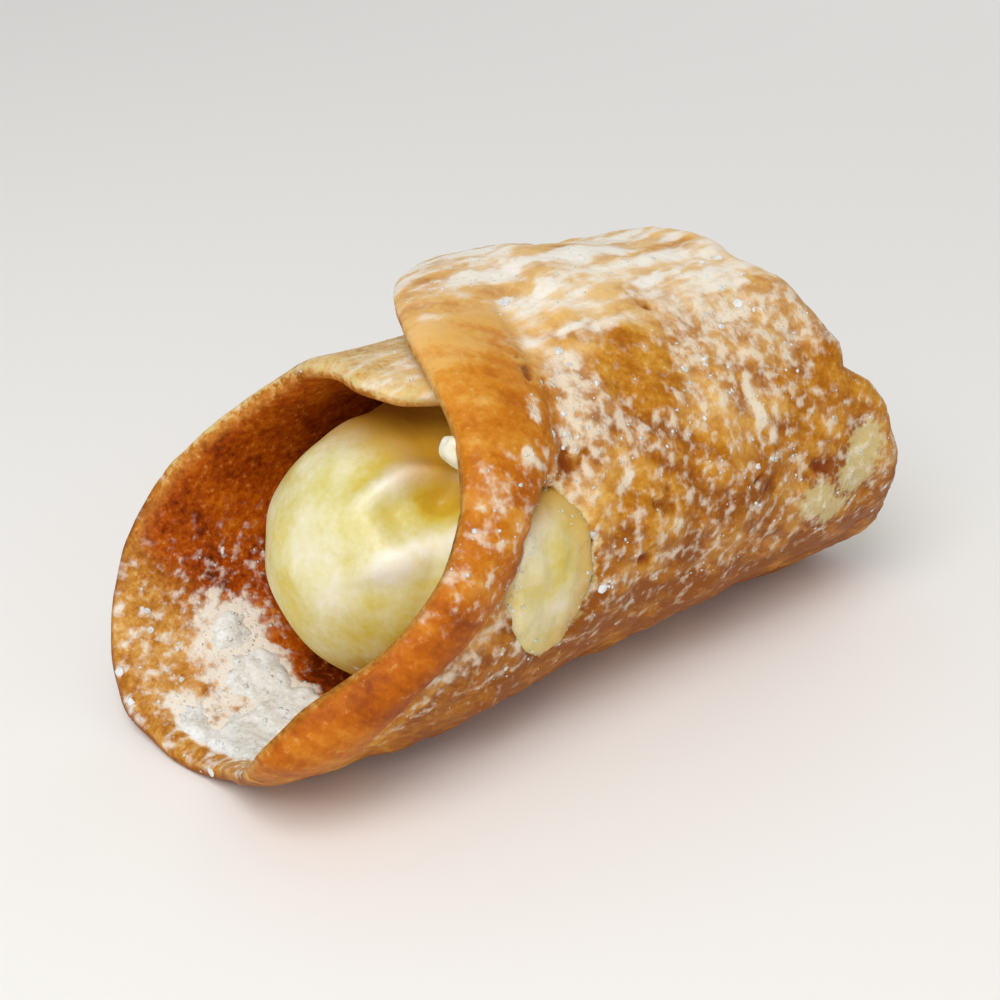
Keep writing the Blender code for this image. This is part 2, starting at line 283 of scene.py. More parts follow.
SPLIT_ANGLE = 276.0
SPLIT_X = -8.6 * MM
SPLIT_HALF_SPAN = 27.0
SPLIT_HALF_WIDTH = 4.8 * MM
SPLIT_SLANT = 0.03 * MM            # for each degree
SPLIT_SLANT_TO = 60.0
SPLIT_TEAR = (4.5, 0.28)           # degrees, and share of its half width
SPLIT_REACH = 13.0 * MM            # the dough is pushed together within this of the split
SPLIT_LINE_CLEAR = 5.0 * MM


# %% Outlines
def along_outline(outline, angle):
    """x of an outline at an angle, in metres: a smooth curve that never overshoots its points."""
    last = len(outline) - 1
    slopes = [(outline[i + 1][1] - outline[i][1]) / (outline[i + 1][0] - outline[i][0])
              for i in range(last)]

    def tangent(i):
        if i in (0, last):
            return slopes[min(i, last - 1)]
        before, after = slopes[i - 1], slopes[i]
        return 2 * before * after / (before + after) if before * after > 0 else 0.0

    i = max(k for k in range(last) if k == 0 or outline[k][0] <= angle)
    (a0, x0), (a1, x1) = outline[i], outline[i + 1]
    span = a1 - a0
    t = min(max((angle - a0) / span, 0.0), 1.0)
    x = ((2 * t ** 3 - 3 * t ** 2 + 1) * x0 + (t ** 3 - 2 * t ** 2 + t) * span * tangent(i)
         + (3 * t ** 2 - 2 * t ** 3) * x1 + (t ** 3 - t ** 2) * span * tangent(i + 1))
    return x * MM


def wander(angle, wave, seed):
    """A small wavering of an outline, the same each time."""
    period, height = wave
    return height * noise.noise(Vector((angle / period, seed, 0.0)))


@lru_cache(maxsize=None)
def front_x(angle):
    return along_outline(FRONT_RIM, angle) + wander(angle, RIM_WAVE, 3.7)


@lru_cache(maxsize=None)
def rear_x(angle):
    torn = max(0.0, 1.0 - abs(angle - REAR_NOTCH_ANGLE) / REAR_NOTCH_HALF_SPAN)
    here = CRUMBLE_ELSEWHERE + (1.0 - CRUMBLE_ELSEWHERE) * window(angle, *CRUMBLE_SPAN)
    crumbled = abs(wander(angle, REAR_CRUMBLE, 5.1)) * here
    return (along_outline(REAR_RIM, angle) + wander(angle, REAR_WAVE, 8.2)
            - REAR_NOTCH_DEPTH * torn - crumbled)


def on_tube(angle, radius, x):
    """The point at an angle, a distance from the tube's axis and a place along it."""
    a = math.radians(angle)
    return Vector((x, radius * math.sin(a), AXIS_HEIGHT + radius * math.cos(a)))


def spot_distance(angle, x, at_angle, at_x):
    """How far a place is from a spot, along the sheet and in mm; at_x is in mm as well."""
    return math.hypot(TUBE_RADIUS / MM * math.radians(angle - at_angle), x / MM - at_x)


# %% [markdown]
# ## Both sides of the dough
#
# The outer side carries the big forms: the collar that puffed up behind the front rim, the valley
# behind it, the lifted flap, the flared far side and the curled lip. Blisters rise where steam
# lifted the skin in the oil, and a few of them burst and left shallow pits. The inner side lay
# against the metal tube, so it stayed smooth.

# %% Radii of the two sides
def smooth_radius(angle, x):
    """Outside of the rolled sheet before it blistered."""
    radius = INNER_LAP_RADIUS + (TUBE_RADIUS - INNER_LAP_RADIUS) * step(angle, *INNER_LAP_EASE)
    radius += (OUTER_LAP_RADIUS - TUBE_RADIUS) * step(angle, *OUTER_LAP_EASE)
    radius += FLAP_LIFT * step(angle, *FLAP_LIFT_ANGLES) * (1.0 - step(x, *FLAP_LIFT_FADE))
    behind_rim = x - front_x(angle)
    flare = max(0.0, 1.0 - behind_rim / FLARE_LENGTH)
    radius += FLARE * flare ** 2 * window(angle, *FLARE_SPAN)
    curl = max(0.0, 1.0 - behind_rim / CURL_LENGTH)
    radius -= CURL * curl ** 2 * window(angle, *CURL_SPAN)
    return radius


def collar(angle, x):
    """Height of the puffed collar, and the shallow valley just behind it."""
    across = (x - front_x(angle)) / COLLAR_WIDTH
    puff = COLLAR_HEIGHT * math.sin(math.pi * min(max(across, 0.0), 1.0))
    valley = VALLEY_DEPTH * window(across, *VALLEY_ACROSS)
    return (puff - valley) * window(angle, *COLLAR_SPAN)


def behind_collar(angle, x):
    """0 on the collar, 1 on the blistered body behind it."""
    return step(x - front_x(angle), *[share * COLLAR_WIDTH for share in BODY_FROM])


def on_collar(angle, x):
    """1 on the smooth skin of the collar, 0 away from it."""
    return (1.0 - behind_collar(angle, x)) * window(angle, *COLLAR_SPAN)


def blistered(angle):
    """How much of the blistering an angle has: none on the inner lap, nor where it rests."""
    return step(angle, *BLISTER_FROM) * (1.0 - window(angle, *REST_SPAN))


def relief(angle, x):
    """Height of blisters and dents on the outer side."""
    swell = SWELL_HEIGHT * noise.noise(on_tube(angle, TUBE_RADIUS, x) / SWELL_SIZE)
    ring = angle + 360.0 * (angle > 360.0)     # past a full turn the blisters are others
    cell = Vector((x, TUBE_RADIUS * math.radians(ring), 0.0)) / BLISTER_SIZE
    distance = noise.voronoi(cell)[0][0]
    blister = BLISTER_HEIGHT * (BLISTER_REACH / 2 - min(distance, BLISTER_REACH))
    share = COLLAR_BLISTERS + (1.0 - COLLAR_BLISTERS) * behind_collar(angle, x)
    return blistered(angle) * (swell + blister * share)


def pit(angle, x):
    """1 in the middle of a burst blister, 0 outside it."""
    deep = 0.0
    for at_angle, at_x, size in PITS:
        away = spot_distance(angle, x, at_angle, at_x) / size
        if away < 2.0:
            place = Vector((x / MM, TUBE_RADIUS / MM * math.radians(angle), at_x))
            away *= 1.0 + PIT_RAGGED * noise.noise(place)
            deep = max(deep, 1.0 - step(away, *PIT_SIDES))
    return deep


def outer_radius(angle, x):
    return smooth_radius(angle, x) + collar(angle, x) + relief(angle, x) - PIT_DEPTH * pit(angle, x)


def inner_radius(angle, x):
    """Inside of the sheet: it follows the outside's main form and is smoother."""
    return smooth_radius(angle, x) + INSIDE_SHARE * collar(angle, x) - WALL


# %% The split
@lru_cache(maxsize=None)
def split_line(angle):
    """x of the line that the dough tore along, carried on round the tube clear of the front rim."""
    line = SPLIT_X + SPLIT_SLANT * min(angle - SPLIT_ANGLE, SPLIT_SLANT_TO)
    return max(line, front_x(angle) + SPLIT_LINE_CLEAR)


def split_half_width(angle, side):
    """Half width of the split: side is -1 in front of its line, 1 behind it, each torn unevenly."""
    t = (angle - SPLIT_ANGLE) / SPLIT_HALF_SPAN
    torn = 1.0 + wander(angle, SPLIT_TEAR, 12.3 + side)
    return SPLIT_HALF_WIDTH * max(0.0, 1.0 - t * t) ** 0.75 * torn


def split_across(angle, x):
    """Where a place lies in the split: 0 in its middle, 1 on its outline, more outside."""
    length = (angle - SPLIT_ANGLE) / SPLIT_HALF_SPAN
    return math.hypot(length, (x - split_line(angle)) / SPLIT_HALF_WIDTH)


def pushed_back(angle, x, side):
    """x of a place once the split has opened: side is -1 in front of its line and 1 behind it."""
    line, width = split_line(angle), split_half_width(angle, side)
    away = abs(x - line)
    if width == 0.0 or away >= SPLIT_REACH:
        return x
    return line + side * (width + away * (1.0 - width / SPLIT_REACH))


# %% How near a place is to an edge
def split_distance(angle, x):
    """How far a place is from the split's outline."""
    beyond = TUBE_RADIUS * math.radians(max(0.0, abs(angle - SPLIT_ANGLE) - SPLIT_HALF_SPAN))
    behind = x - split_line(angle)
    beside = max(0.0, abs(behind) - split_half_width(angle, 1 if behind > 0.0 else -1))
    return math.hypot(beyond, beside)


def edge_distance(angle, x):
    """How far a place is from the nearest edge of the sheet, the split's included."""
    slope = (front_x(angle + 2) - front_x(angle - 2)) / (TUBE_RADIUS * math.radians(4))
    front = (x - front_x(angle)) / math.hypot(1.0, slope)
    rear = rear_x(angle) - x
    ends = TUBE_RADIUS * math.radians(min(angle - ROLL_START, ROLL_END - angle))
    return max(0.0, min(front, rear, ends, split_distance(angle, x)))


def wall_share(distance):
    """Share of the wall's full thickness at a distance from an edge: edges are thin and round."""
    inward = min(distance / RIM_THINNING, 1.0)
    return math.sqrt(1.0 - (1.0 - inward) ** 2 * (1.0 - RIM_SHARE ** 2))


def surface_radius(angle, x, distance, outer):
    """Radius of the outer or the inner surface, at a distance from the nearest edge."""
    outside, inside = outer_radius(angle, x), inner_radius(angle, x)
    half = 0.5 * (outside - inside) * wall_share(distance)
    return (outside + inside) / 2 + (half if outer else -half)


# %% [markdown]
# ## Where the sugar fell
#
# Sugar drops straight down from the sieve, so it lies thickest on top, thins out towards the
# sides and never reaches the underside. It catches in wrinkles: in rings round the side and in
# long streaks on top. It slid off a few places and clung in thick patches to others, and a heavy
# drift lies in the scooped lip. A place's share of sugar is kept as an attribute of the mesh, and
# both the scattered lumps and the dough's white flecks read it.

# %% Amounts of sugar, as shares of full cover
TOP_FROM = (322.0, 350.0)      # from here on the streaks run along the tube
TOP_TO = (12.0, 40.0)
FACES_UP = (-0.85, -0.1)       # cosines of the angle, from the underside up
LAP_SUGAR, LAP_END = 0.55, (25.0, 45.0)
RING_SUGAR, UPPER_RINGS, UPPER_FROM = 0.36, 0.2, (290.0, 322.0)
STREAK_SUGAR = 0.58
VALLEY_SUGAR, VALLEY_SUGAR_ACROSS = 0.25, (0.85, 1.1, 1.2, 1.7)
MOST_SUGAR = 1.15
BARE = (                       # it slid off: angle, x and radius in mm
    (324.0, 8.0, 6.0), (343.0, 3.0, 3.5), (301.0, 33.0, 3.5))
HEAVY = (                      # it clung: angle, x, half width round the tube, half length in mm
    (306.0, 20.2, 2.4, 1.2), (298.0, 20.8, 2.2, 1.3), (292.0, 22.0, 1.4, 1.0),
    (321.0, -6.4, 1.6, 0.9), (328.0, 23.1, 1.0, 2.2), (296.0, 2.1, 1.4, 1.1),
    (279.0, 7.0, 1.0, 0.8), (310.0, -9.5, 1.6, 1.2), (281.0, -3.0, 1.3, 0.9),
    (258.0, -13.0, 1.5, 1.2), (367.0, 17.5, 1.7, 6.5), (348.0, 17.0, 1.5, 3.6),
    (355.0, 4.5, 1.6, 4.6), (341.0, 4.8, 1.0, 3.2), (372.0, 2.0, 2.0, 5.0),
    (338.0, 24.0, 1.2, 4.0),
)
DRIFTS = (                     # in the lip: angle, x in mm, half span, half length in mm, depth
    (139.0, -27.5, 9.0, 3.4, 0.55),
    (158.0, -27.5, 12.0, 4.2, 0.85),
    (178.0, -26.5, 13.0, 7.5, 1.0),
    (184.0, -35.0, 17.0, 5.4, 0.95),
    (166.0, -37.5, 12.0, 3.2, 0.6),
)
DRIFT_DEPTH = 0.8 * MM
BARE_RIM = (1.0 * MM, 3.4 * MM)
BALL_CENTRE = Vector((-12.8 * MM, 0.0, AXIS_HEIGHT - 2.8 * MM))    # of the cream's round end
BARE_ROUND_BALL = (17.5 * MM, 19.5 * MM)    # from its centre: no sugar fell beside it


# %% Sugar on a place
def patches(x, around, across, along, seed, rough=0.5):
    """Uneven noise from about -1 to 1, in patches of the given size in mm."""
    big = noise.noise(Vector((x / MM / across, around / MM / along, seed)))
    small = noise.noise(Vector((x / MM / 0.9, around / MM / 1.1, seed + 9.0)))
    return big + rough * small


def top_share(angle):
    """0 on the sides of the tube, 1 on its top."""
    return step(angle, *TOP_FROM) if angle > 180.0 else 1.0 - step(angle, *TOP_TO)


def near_ball(angle, x, reach):
    """1 on the inner side of the dough right beside the ball of cream, 0 away from it."""
    return 1.0 - step((on_tube(angle, TUBE_RADIUS - WALL, x) - BALL_CENTRE).length, *reach)


def drift(angle, x):
    """Depth of the drift in the lip, as a share of its greatest; below 0 it is only specks."""
    heap = max(
        height * (1.0 - math.hypot((angle - at_angle) / half_span, (x / MM - at_x) / half_length))
        for at_angle, at_x, half_span, half_length, height in DRIFTS)
    bare_rim = 1.2 * (1.0 - step(x - front_x(angle), *BARE_RIM))
    uneven = 0.3 * patches(x, TUBE_RADIUS * math.radians(angle), 2.4, 2.4, 31.0)
    return heap + uneven + 0.1 - max(bare_rim, near_ball(angle, x, BARE_ROUND_BALL))


def sugar_outside(angle, x):
    """Share of sugar on the outer side: a thin fall everywhere that faces up, thick in patches."""
    around = TUBE_RADIUS * math.radians(angle)
    upward = step(math.cos(math.radians(angle)), *FACES_UP)
    upward *= LAP_SUGAR + (1.0 - LAP_SUGAR) * step(angle, *LAP_END)
    rings = (RING_SUGAR + UPPER_RINGS * step(angle, *UPPER_FROM)
             + 0.15 * patches(x, around, 2.2, 4.2, 4.0))
    streaks = STREAK_SUGAR + 0.9 * patches(x, around, 9.0, 2.4, 14.0, 0.15)
    share = rings + (streaks - rings) * top_share(angle)
    in_valley = window((x - front_x(angle)) / COLLAR_WIDTH, *VALLEY_SUGAR_ACROSS)
    share += VALLEY_SUGAR * in_valley * window(angle, *COLLAR_SPAN)
    ends_of_collar = max(step(angle, 306.0, 318.0), step(angle, 285.0, 268.0))
    share *= 1.0 - on_collar(angle, x) * (0.15 + 0.75 * ends_of_collar)
    for at_angle, at_x, size in BARE:
        share *= 1.0 - 0.7 * (1.0 - step(spot_distance(angle, x, at_angle, at_x) / size, 0.5, 1.1))
    for at_angle, at_x, half_width, half_length in HEAVY:
        away = math.hypot(TUBE_RADIUS / MM * math.radians(angle - at_angle) / half_width,
                          (x / MM - at_x) / half_length)
        if away < 1.6:
            away *= 1.0 + 0.9 * patches(x, around, 1.6, 1.6, 41.0)
            share = max(share, 1.0 - step(away, 0.1, 1.4))
    return upward * max(0.0, min(MOST_SUGAR, share)) * (1.0 - pit(angle, x))


def sugar_inside(angle, x):
    """Share of sugar on the inner side: the drift in the lip, and specks beside it."""
    around = TUBE_RADIUS * math.radians(angle)
    lip = step(x, -12 * MM, -22 * MM) * window(angle, 84.0, 128.0, 215.0, 250.0)
    specks = lip * (0.35 + 0.2 * patches(x, around, 1.5, 1.5, 22.0, 1.4))
    cover = max(step(drift(angle, x), -0.45, 0.15), specks, 0.0)
    return cover * (1.0 - near_ball(angle, x, BARE_ROUND_BALL))


# %% [markdown]
# ## How the dough took the heat, and where shade is painted
#
# The same oil left the dough pale in some places and dark in others. Thin edges and the inner lap,
# which lay under the flap, stayed pale, and so did the torn sides of the split. The inside fried to
# red-brown, and the same red-brown is painted deeper into the mouth as shade. The lower end of the
# collar, the underside, one patch low under the rear end and the inner side beside the cream carry
# painted shade. Each of these is a share from 0 to 1, which the material turns to colour.

# %% Pale dough, toasted dough and painted shade
PALE_PATCHES = (               # skin torn off at the rear end: angle, x, radius in mm
    (276.5, 35.2, 3.6), (269.0, 34.0, 3.6), (264.0, 28.4, 3.2), (257.0, 31.5, 2.6))
PALE_RIM = (-40.0, -20.0, 66.0, 108.0)   # the thin far rim, from the inner lap down
PALE_FLAP = (362.0, 388.0)
PALE_LAP_TO = (30.0, 52.0)
SHADE_PATCH = (249.0, 28.5, 6.5)  # painted shade: one dark patch low on the near side: angle, x and radius in mm
# painted shade on the inner side beside the cream, by distance from the ball's centre
SHADE_ROUND_BALL = (16.5 * MM, 19.5 * MM)
# painted shade in red-brown over the lower end of the collar, between these angles
COLLAR_END_SHADE = (304.0, 272.0)
LIP_FROM = (95.0, 135.0)       # on the lip the golden rim is wider than elsewhere


def pale(angle, x, distance, outer):
    """Dough that stayed pale: thin edges away from the collar, the inner lap, torn patches."""
    if not outer:
        return 0.0
    rear = 0.25 * step(x, 20 * MM, 28 * MM)
    on_edge = (1.0 - step(distance, 0.0, 0.7 * MM)) * max(
        window(angle, *PALE_RIM), step(angle, *PALE_FLAP), rear)
    on_lap = 0.58 * (1.0 - step(angle, *PALE_LAP_TO))
    torn = 0.75 * (1.0 - step(split_distance(angle, x), 0.0, 1.3 * MM)) * (x > split_line(angle))
    for at_angle, at_x, size in PALE_PATCHES:
        away = spot_distance(angle, x, at_angle, at_x) / size
        torn = max(torn, 1.1 * (1.0 - step(away, 0.4, 1.1)))
    return max(0.75 * on_edge, on_lap, torn)


def toasted_and_shade(angle, distance, smooth, outer):
    """Red-brown dough. Inside, away from the rims, it is the fried inside's own colour and painted
    shade deeper into the mouth; low on the collar it is painted shade.
    """
    if outer:
        return 0.6 * smooth * step(angle, *COLLAR_END_SHADE)
    lip = step(angle, *LIP_FROM)
    return step(distance, (5.6 * lip - 1.0) * MM, (1.4 + 13.0 * lip) * MM)


def painted_shade(angle, x, smooth, outer):
    """Painted shade on the dough: the lower half, a patch under the rear end, beside the cream."""
    if not outer:
        return near_ball(angle, x, SHADE_ROUND_BALL)
    if smooth > 0.0:
        return 0.0
    at_angle, at_x, size = SHADE_PATCH
    shade_patch = step(spot_distance(angle, x, at_angle, at_x), size, 2.0)
    # painted shade: the lower half of the tube, and the patch under the rear end
    return max(0.65 * step(math.cos(math.radians(angle)), 0.35, -0.3), shade_patch)


# %% [markdown]
# ## Cutting the flat sheet
#
# `create_grid` gives a regular sheet of faces. Its rows are spread between the two rims, one row
# runs along the line of the split, and `split_edges` tears the sheet there. The dough on either
# side is pushed back, and `solidify` gives the sheet its two sides. What each vertex needs later
# is stored on it: the angle and the radius that it is rolled to, how blistered and sugared it is,
# and which kinds of brown it has.

# %% Rows of the sheet
ROWS_AROUND = 380
ROWS_TO_SPLIT = 40
ROWS_ALONG = 120
EDGE_ROWS = 3                  # close together, for the round edges


def row_angle(row):
    """Angle of each row across the sheet; the first and last lie close to its ends."""
    close = math.degrees(0.5 * RIM_THINNING / TUBE_RADIUS)
    if row < EDGE_ROWS:
        return ROLL_START + close * row / EDGE_ROWS
    if row > ROWS_AROUND - EDGE_ROWS:
        return ROLL_END - close * (ROWS_AROUND - row) / EDGE_ROWS
    first, last = ROLL_START + close, ROLL_END - close
    return first + (last - first) * (row - EDGE_ROWS) / (ROWS_AROUND - 2 * EDGE_ROWS)


def row_x(angle, row):
    """x of each row along the sheet: close to both rims at its ends, one on the split's line."""
    front, rear, line = front_x(angle), rear_x(angle), split_line(angle)
    close = 0.5 * RIM_THINNING
    if row < EDGE_ROWS:
        return front + close * row / EDGE_ROWS
    if row > ROWS_ALONG - EDGE_ROWS:
        return rear - close * (ROWS_ALONG - row) / EDGE_ROWS
    if row <= ROWS_TO_SPLIT:
        share = (row - EDGE_ROWS) / (ROWS_TO_SPLIT - EDGE_ROWS)
        return front + close + (line - front - close) * share
    beyond = (row - ROWS_TO_SPLIT) / (ROWS_ALONG - EDGE_ROWS - ROWS_TO_SPLIT)
    return line + (rear - close - line) * beyond


# %% Cut, tear and thicken
def thickened(bm):
    """Give a flat sheet its second side; returns the height halfway between the two."""
    bmesh.ops.solidify(bm, geom=bm.faces[:], thickness=1.0)
    bmesh.ops.recalc_face_normals(bm, faces=bm.faces[:])
    return (min(vert.co.z for vert in bm.verts) + max(vert.co.z for vert in bm.verts)) / 2


def flat_sheet():
    """The sheet of dough lying flat, cut to its outline and torn: (angle, x / MM, 0)."""
    bm = bmesh.new()
    bmesh.ops.create_grid(bm, x_segments=ROWS_AROUND, y_segments=ROWS_ALONG, size=0.5)
    for vert in bm.verts:
        around = round((vert.co.x + 0.5) * ROWS_AROUND)
        along = round((vert.co.y + 0.5) * ROWS_ALONG)
        angle = row_angle(around)
        vert.co = Vector((angle, row_x(angle, along) / MM, 0.0))

    def on_split(vert):
        angle, x = vert.co.x, vert.co.y * MM
        return abs(x - split_line(angle)) < 0.01 * MM and abs(angle - SPLIT_ANGLE) < SPLIT_HALF_SPAN

    torn = [edge for edge in bm.edges if all(on_split(vert) for vert in edge.verts)]
    bmesh.ops.split_edges(bm, edges=torn)
    for vert in bm.verts:
        middle = sum(face.calc_center_median().y for face in vert.link_faces) / len(vert.link_faces)
        side = 1 if middle * MM > split_line(vert.co.x) else -1
        vert.co.y = pushed_back(vert.co.x, vert.co.y * MM, side) / MM
    return bm


def dough_on(angle, x, outer):
    """All that a vertex of the dough needs for rolling and colour."""
    distance = edge_distance(angle, x)
    smooth = on_collar(angle, x)
    return {
        "roll_angle": math.radians(angle),
        "roll_radius": surface_radius(angle, x, distance, outer),
        "fried": blistered(angle) * (1.0 - 0.75 * smooth) if outer else 0.0,
        "inside": 0.0 if outer else 1.0,
        "collar": smooth if outer else 0.0,
        "pale": pale(angle, x, distance, outer),
        "pit": pit(angle, x) if outer else 0.0,
        "toasted_and_shade": toasted_and_shade(angle, distance, smooth, outer),
        "painted_shade": painted_shade(angle, x, smooth, outer),
        "on_top": top_share(angle) if outer else 0.0,
        "sugar": sugar_outside(angle, x) if outer else sugar_inside(angle, x),
    }


def told_sheet(bm, name, told_of):
    """Thicken a flat sheet and tell each of its vertices what it needs; its mesh as an object."""
    middle = thickened(bm)
    told = []
    for vert in bm.verts:
        angle, x = vert.co.x, vert.co.y * MM
        told.append(told_of(angle, x, vert.co.z < middle))
        vert.co = Vector((x, TUBE_RADIUS * math.radians(angle), 0.0))
    mesh = mesh_of(bm, name)
    tell(mesh, told)
    return placed(name, mesh)


sheet = told_sheet(flat_sheet(), "flat sheet", dough_on)
print("flat sheet:", len(sheet.data.polygons), "faces")


# %% [markdown]
# ## A tree that rolls and blisters
#
# Rolling a sheet is a rule: a vertex at an angle and a radius goes to the sine and cosine of that
# angle. Geometry Nodes do this in one Set Position node. Small bubbles, which are too fine for the
# solid, are raised in the same tree: a Voronoi texture gives round domes, and a noise texture the
# grain between them. Their sizes are named inputs, and the height of the bubbles is stored, so
# that the colour can follow it: painted light on the tops, painted shade in the hollows.

# %% Helpers for Geometry Nodes
def new_tree(name, given):
    """An empty tree with these named inputs besides its geometry, and their sockets."""
    tree = bpy.data.node_groups.new(name, "GeometryNodeTree")
    tree.interface.new_socket(name="Geometry", in_out="OUTPUT", socket_type="NodeSocketGeometry")
    for input_name, kind in {"Geometry": "Geometry", **given}.items():
        tree.interface.new_socket(
            name=input_name, in_out="INPUT", socket_type="NodeSocket" + kind)
    return tree, tree.nodes.new("NodeGroupInput").outputs


def grown(name, source, tree, values):
    """Run a tree on an object and return its result as a new plain mesh object."""
    modifier = source.modifiers.new(name, "NODES")
    modifier.node_group = tree
    for item in tree.interface.items_tree:
        if item.in_out == "INPUT" and item.name in values:
            modifier[item.identifier] = values[item.name]
    depsgraph = bpy.context.evaluated_depsgraph_get()
    mesh = bpy.data.meshes.new_from_object(source.evaluated_get(depsgraph))
    mesh.name = name
    source.modifiers.remove(modifier)
    mesh.shade_smooth()
    print(name + ":", triangles(mesh), "triangles")
    return placed(name, mesh)


# %% The rolling tree
def rolling_tree():
    tree, given = new_tree("roll and blister", {
        "Axis Height": "Float", "Bubble Size": "Float", "Bubble Height": "Float",
        "Grain Size": "Float", "Grain Height": "Float", "Material": "Material"})
    roll_angle, roll_radius, fried = [
        add(tree, "GeometryNodeInputNamedAttribute", {"Name": name}, data_type="FLOAT")
        for name in ("roll_angle", "roll_radius", "fried")]
    flat = add(tree, "GeometryNodeInputPosition")
    along = add(tree, "ShaderNodeSeparateXYZ", [flat])
    sine, cosine = [add(tree, "ShaderNodeMath", [roll_angle], operation=of_angle)
                    for of_angle in ("SINE", "COSINE")]

    def rolled(radius):
        y = add(tree, "ShaderNodeMath", [sine, radius], operation="MULTIPLY")
        z = add(tree, "ShaderNodeMath",
                [cosine, radius, given["Axis Height"]], operation="MULTIPLY_ADD")
        above = add(tree, "ShaderNodeMath", [z, 0.0], operation="MAXIMUM")
        return add(tree, "ShaderNodeCombineXYZ", [along.outputs["X"], y, above])

    place = rolled(roll_radius)
    per_bubble, per_grain = [
        add(tree, "ShaderNodeMath", [1.0, given[size]], operation="DIVIDE")
        for size in ("Bubble Size", "Grain Size")]
    bubbles = add(tree, "ShaderNodeTexVoronoi",
                  {"Vector": place, "Scale": per_bubble, "Smoothness": 0.35}, feature="SMOOTH_F1")
    domes = add(tree, "ShaderNodeMath", [0.5, bubbles], operation="SUBTRACT")
    grain = add(tree, "ShaderNodeTexNoise", {"Vector": place, "Scale": per_grain, "Detail": 3.0})
    rough = add(tree, "ShaderNodeMath", [grain, 0.5], operation="SUBTRACT")
    high = add(tree, "ShaderNodeMath", [domes, given["Bubble Height"]], operation="MULTIPLY")
    both = add(tree, "ShaderNodeMath",
               [rough, given["Grain Height"], high], operation="MULTIPLY_ADD")
    raised = add(tree, "ShaderNodeMath", [both, fried], operation="MULTIPLY")
    radius = add(tree, "ShaderNodeMath", [roll_radius, raised], operation="ADD")

    told = given["Geometry"]
    for name, kind, value in (("bubble", "FLOAT", domes), ("flat_place", "FLOAT_VECTOR", flat)):
        told = add(tree, "GeometryNodeStoreNamedAttribute",
                   {"Geometry": told, "Name": name, "Value": value}, data_type=kind, domain="POINT")
    moved = add(tree, "GeometryNodeSetPosition", {"Geometry": told, "Position": rolled(radius)})
    real = add(tree, "GeometryNodeRealizeInstances", {"Geometry": moved})
    dressed = add(tree, "GeometryNodeSetMaterial",
                  {"Geometry": real, "Material": given["Material"]})
    add(tree, "NodeGroupOutput", {"Geometry": dressed})
    return tree


# %% [markdown]
# ## The fried dough
#
# Wheat dough fried in deep oil browns unevenly, and thin skin toasts to red-brown; the same
# red-brown is also painted as shade deep in the mouth and low on the collar. Blister tops and the
# top of the tube are painted lighter as light, and the hollows between blisters painted dark as
# shade. The skin has fine creases that slant round the tube. The surface is dry with a faint gloss
# of oil. Where the sugar is thin it is a pale veil in the dough's own colour, and where it clings it
# makes small white flecks, drawn out along the tube on top.

# %% Where sugar shows white
SIDE_FLECK = (1.4 * MM, 1.6 * MM)    # along the tube and round it
TOP_FLECK = (5.0 * MM, 1.9 * MM)


def white_flecks(tree, flat_place, share, on_top):
    """Sugar's white, 0 to 1, on the flat sheet: the greater its share, the more flecks."""
    noises = []
    for along, around in (SIDE_FLECK, TOP_FLECK):
        drawn = add(tree, "ShaderNodeVectorMath",
                    [flat_place, (1 / along, 1 / around, 1 / around)], operation="MULTIPLY")
        noises.append(add(tree, "ShaderNodeTexNoise",
                          {"Vector": drawn, "Scale": 1.0, "Detail": 2.5, "Roughness": 0.55}))
    flecks = add(tree, "ShaderNodeMix", [on_top, noises[0], noises[1]], data_type="FLOAT")
    lying = add(tree, "ShaderNodeMath", [share, 0.36, flecks], operation="MULTIPLY_ADD")
    white = add(tree, "ShaderNodeMapRange",
                [lying, 0.59, 0.84, 0.0, 1.0], interpolation_type="SMOOTHSTEP")
    reached = add(tree, "ShaderNodeMapRange", [share, 0.04, 0.2, 0.0, 1.0])
    return add(tree, "ShaderNodeMath", [white, reached], operation="MULTIPLY")


# %% Fried dough
OUTSIDE_BROWNS = ((0.15, "#94500A"), (0.38, "#B67014"), (0.56, "#CE8E2C"), (0.80, "#E4B056"))
COLLAR_BROWNS = ((0.15, "#A9560A"), (0.42, "#C47210"), (0.62, "#D48A28"), (0.85, "#E0A850"))
INSIDE_BROWNS = ((0.15, "#A8661A"), (0.42, "#CA8D37"), (0.75, "#E5BD7A"))
# red-brown of the fried inside, also used as painted shade deep in the mouth and low on the collar
TOASTED_AND_SHADE_BROWNS = ((0.02, "#642200"), (0.2, "#903902"), (0.45, "#B45204"), (0.75, "#D27816"))
BURST_BROWN = "#762602"        # in the pits the toasted layer under the skin shows
PALE_DOUGH = "#DBCA8E"
SUGAR_VEIL = "#F2DDB6"
THIN_FLECK, THICK_FLECK = "#F1E4CC", "#F6F3EA"
CREASE_TURN = math.radians(-35)
CREASE_SIZE = (9.0 * MM, 1.8 * MM)


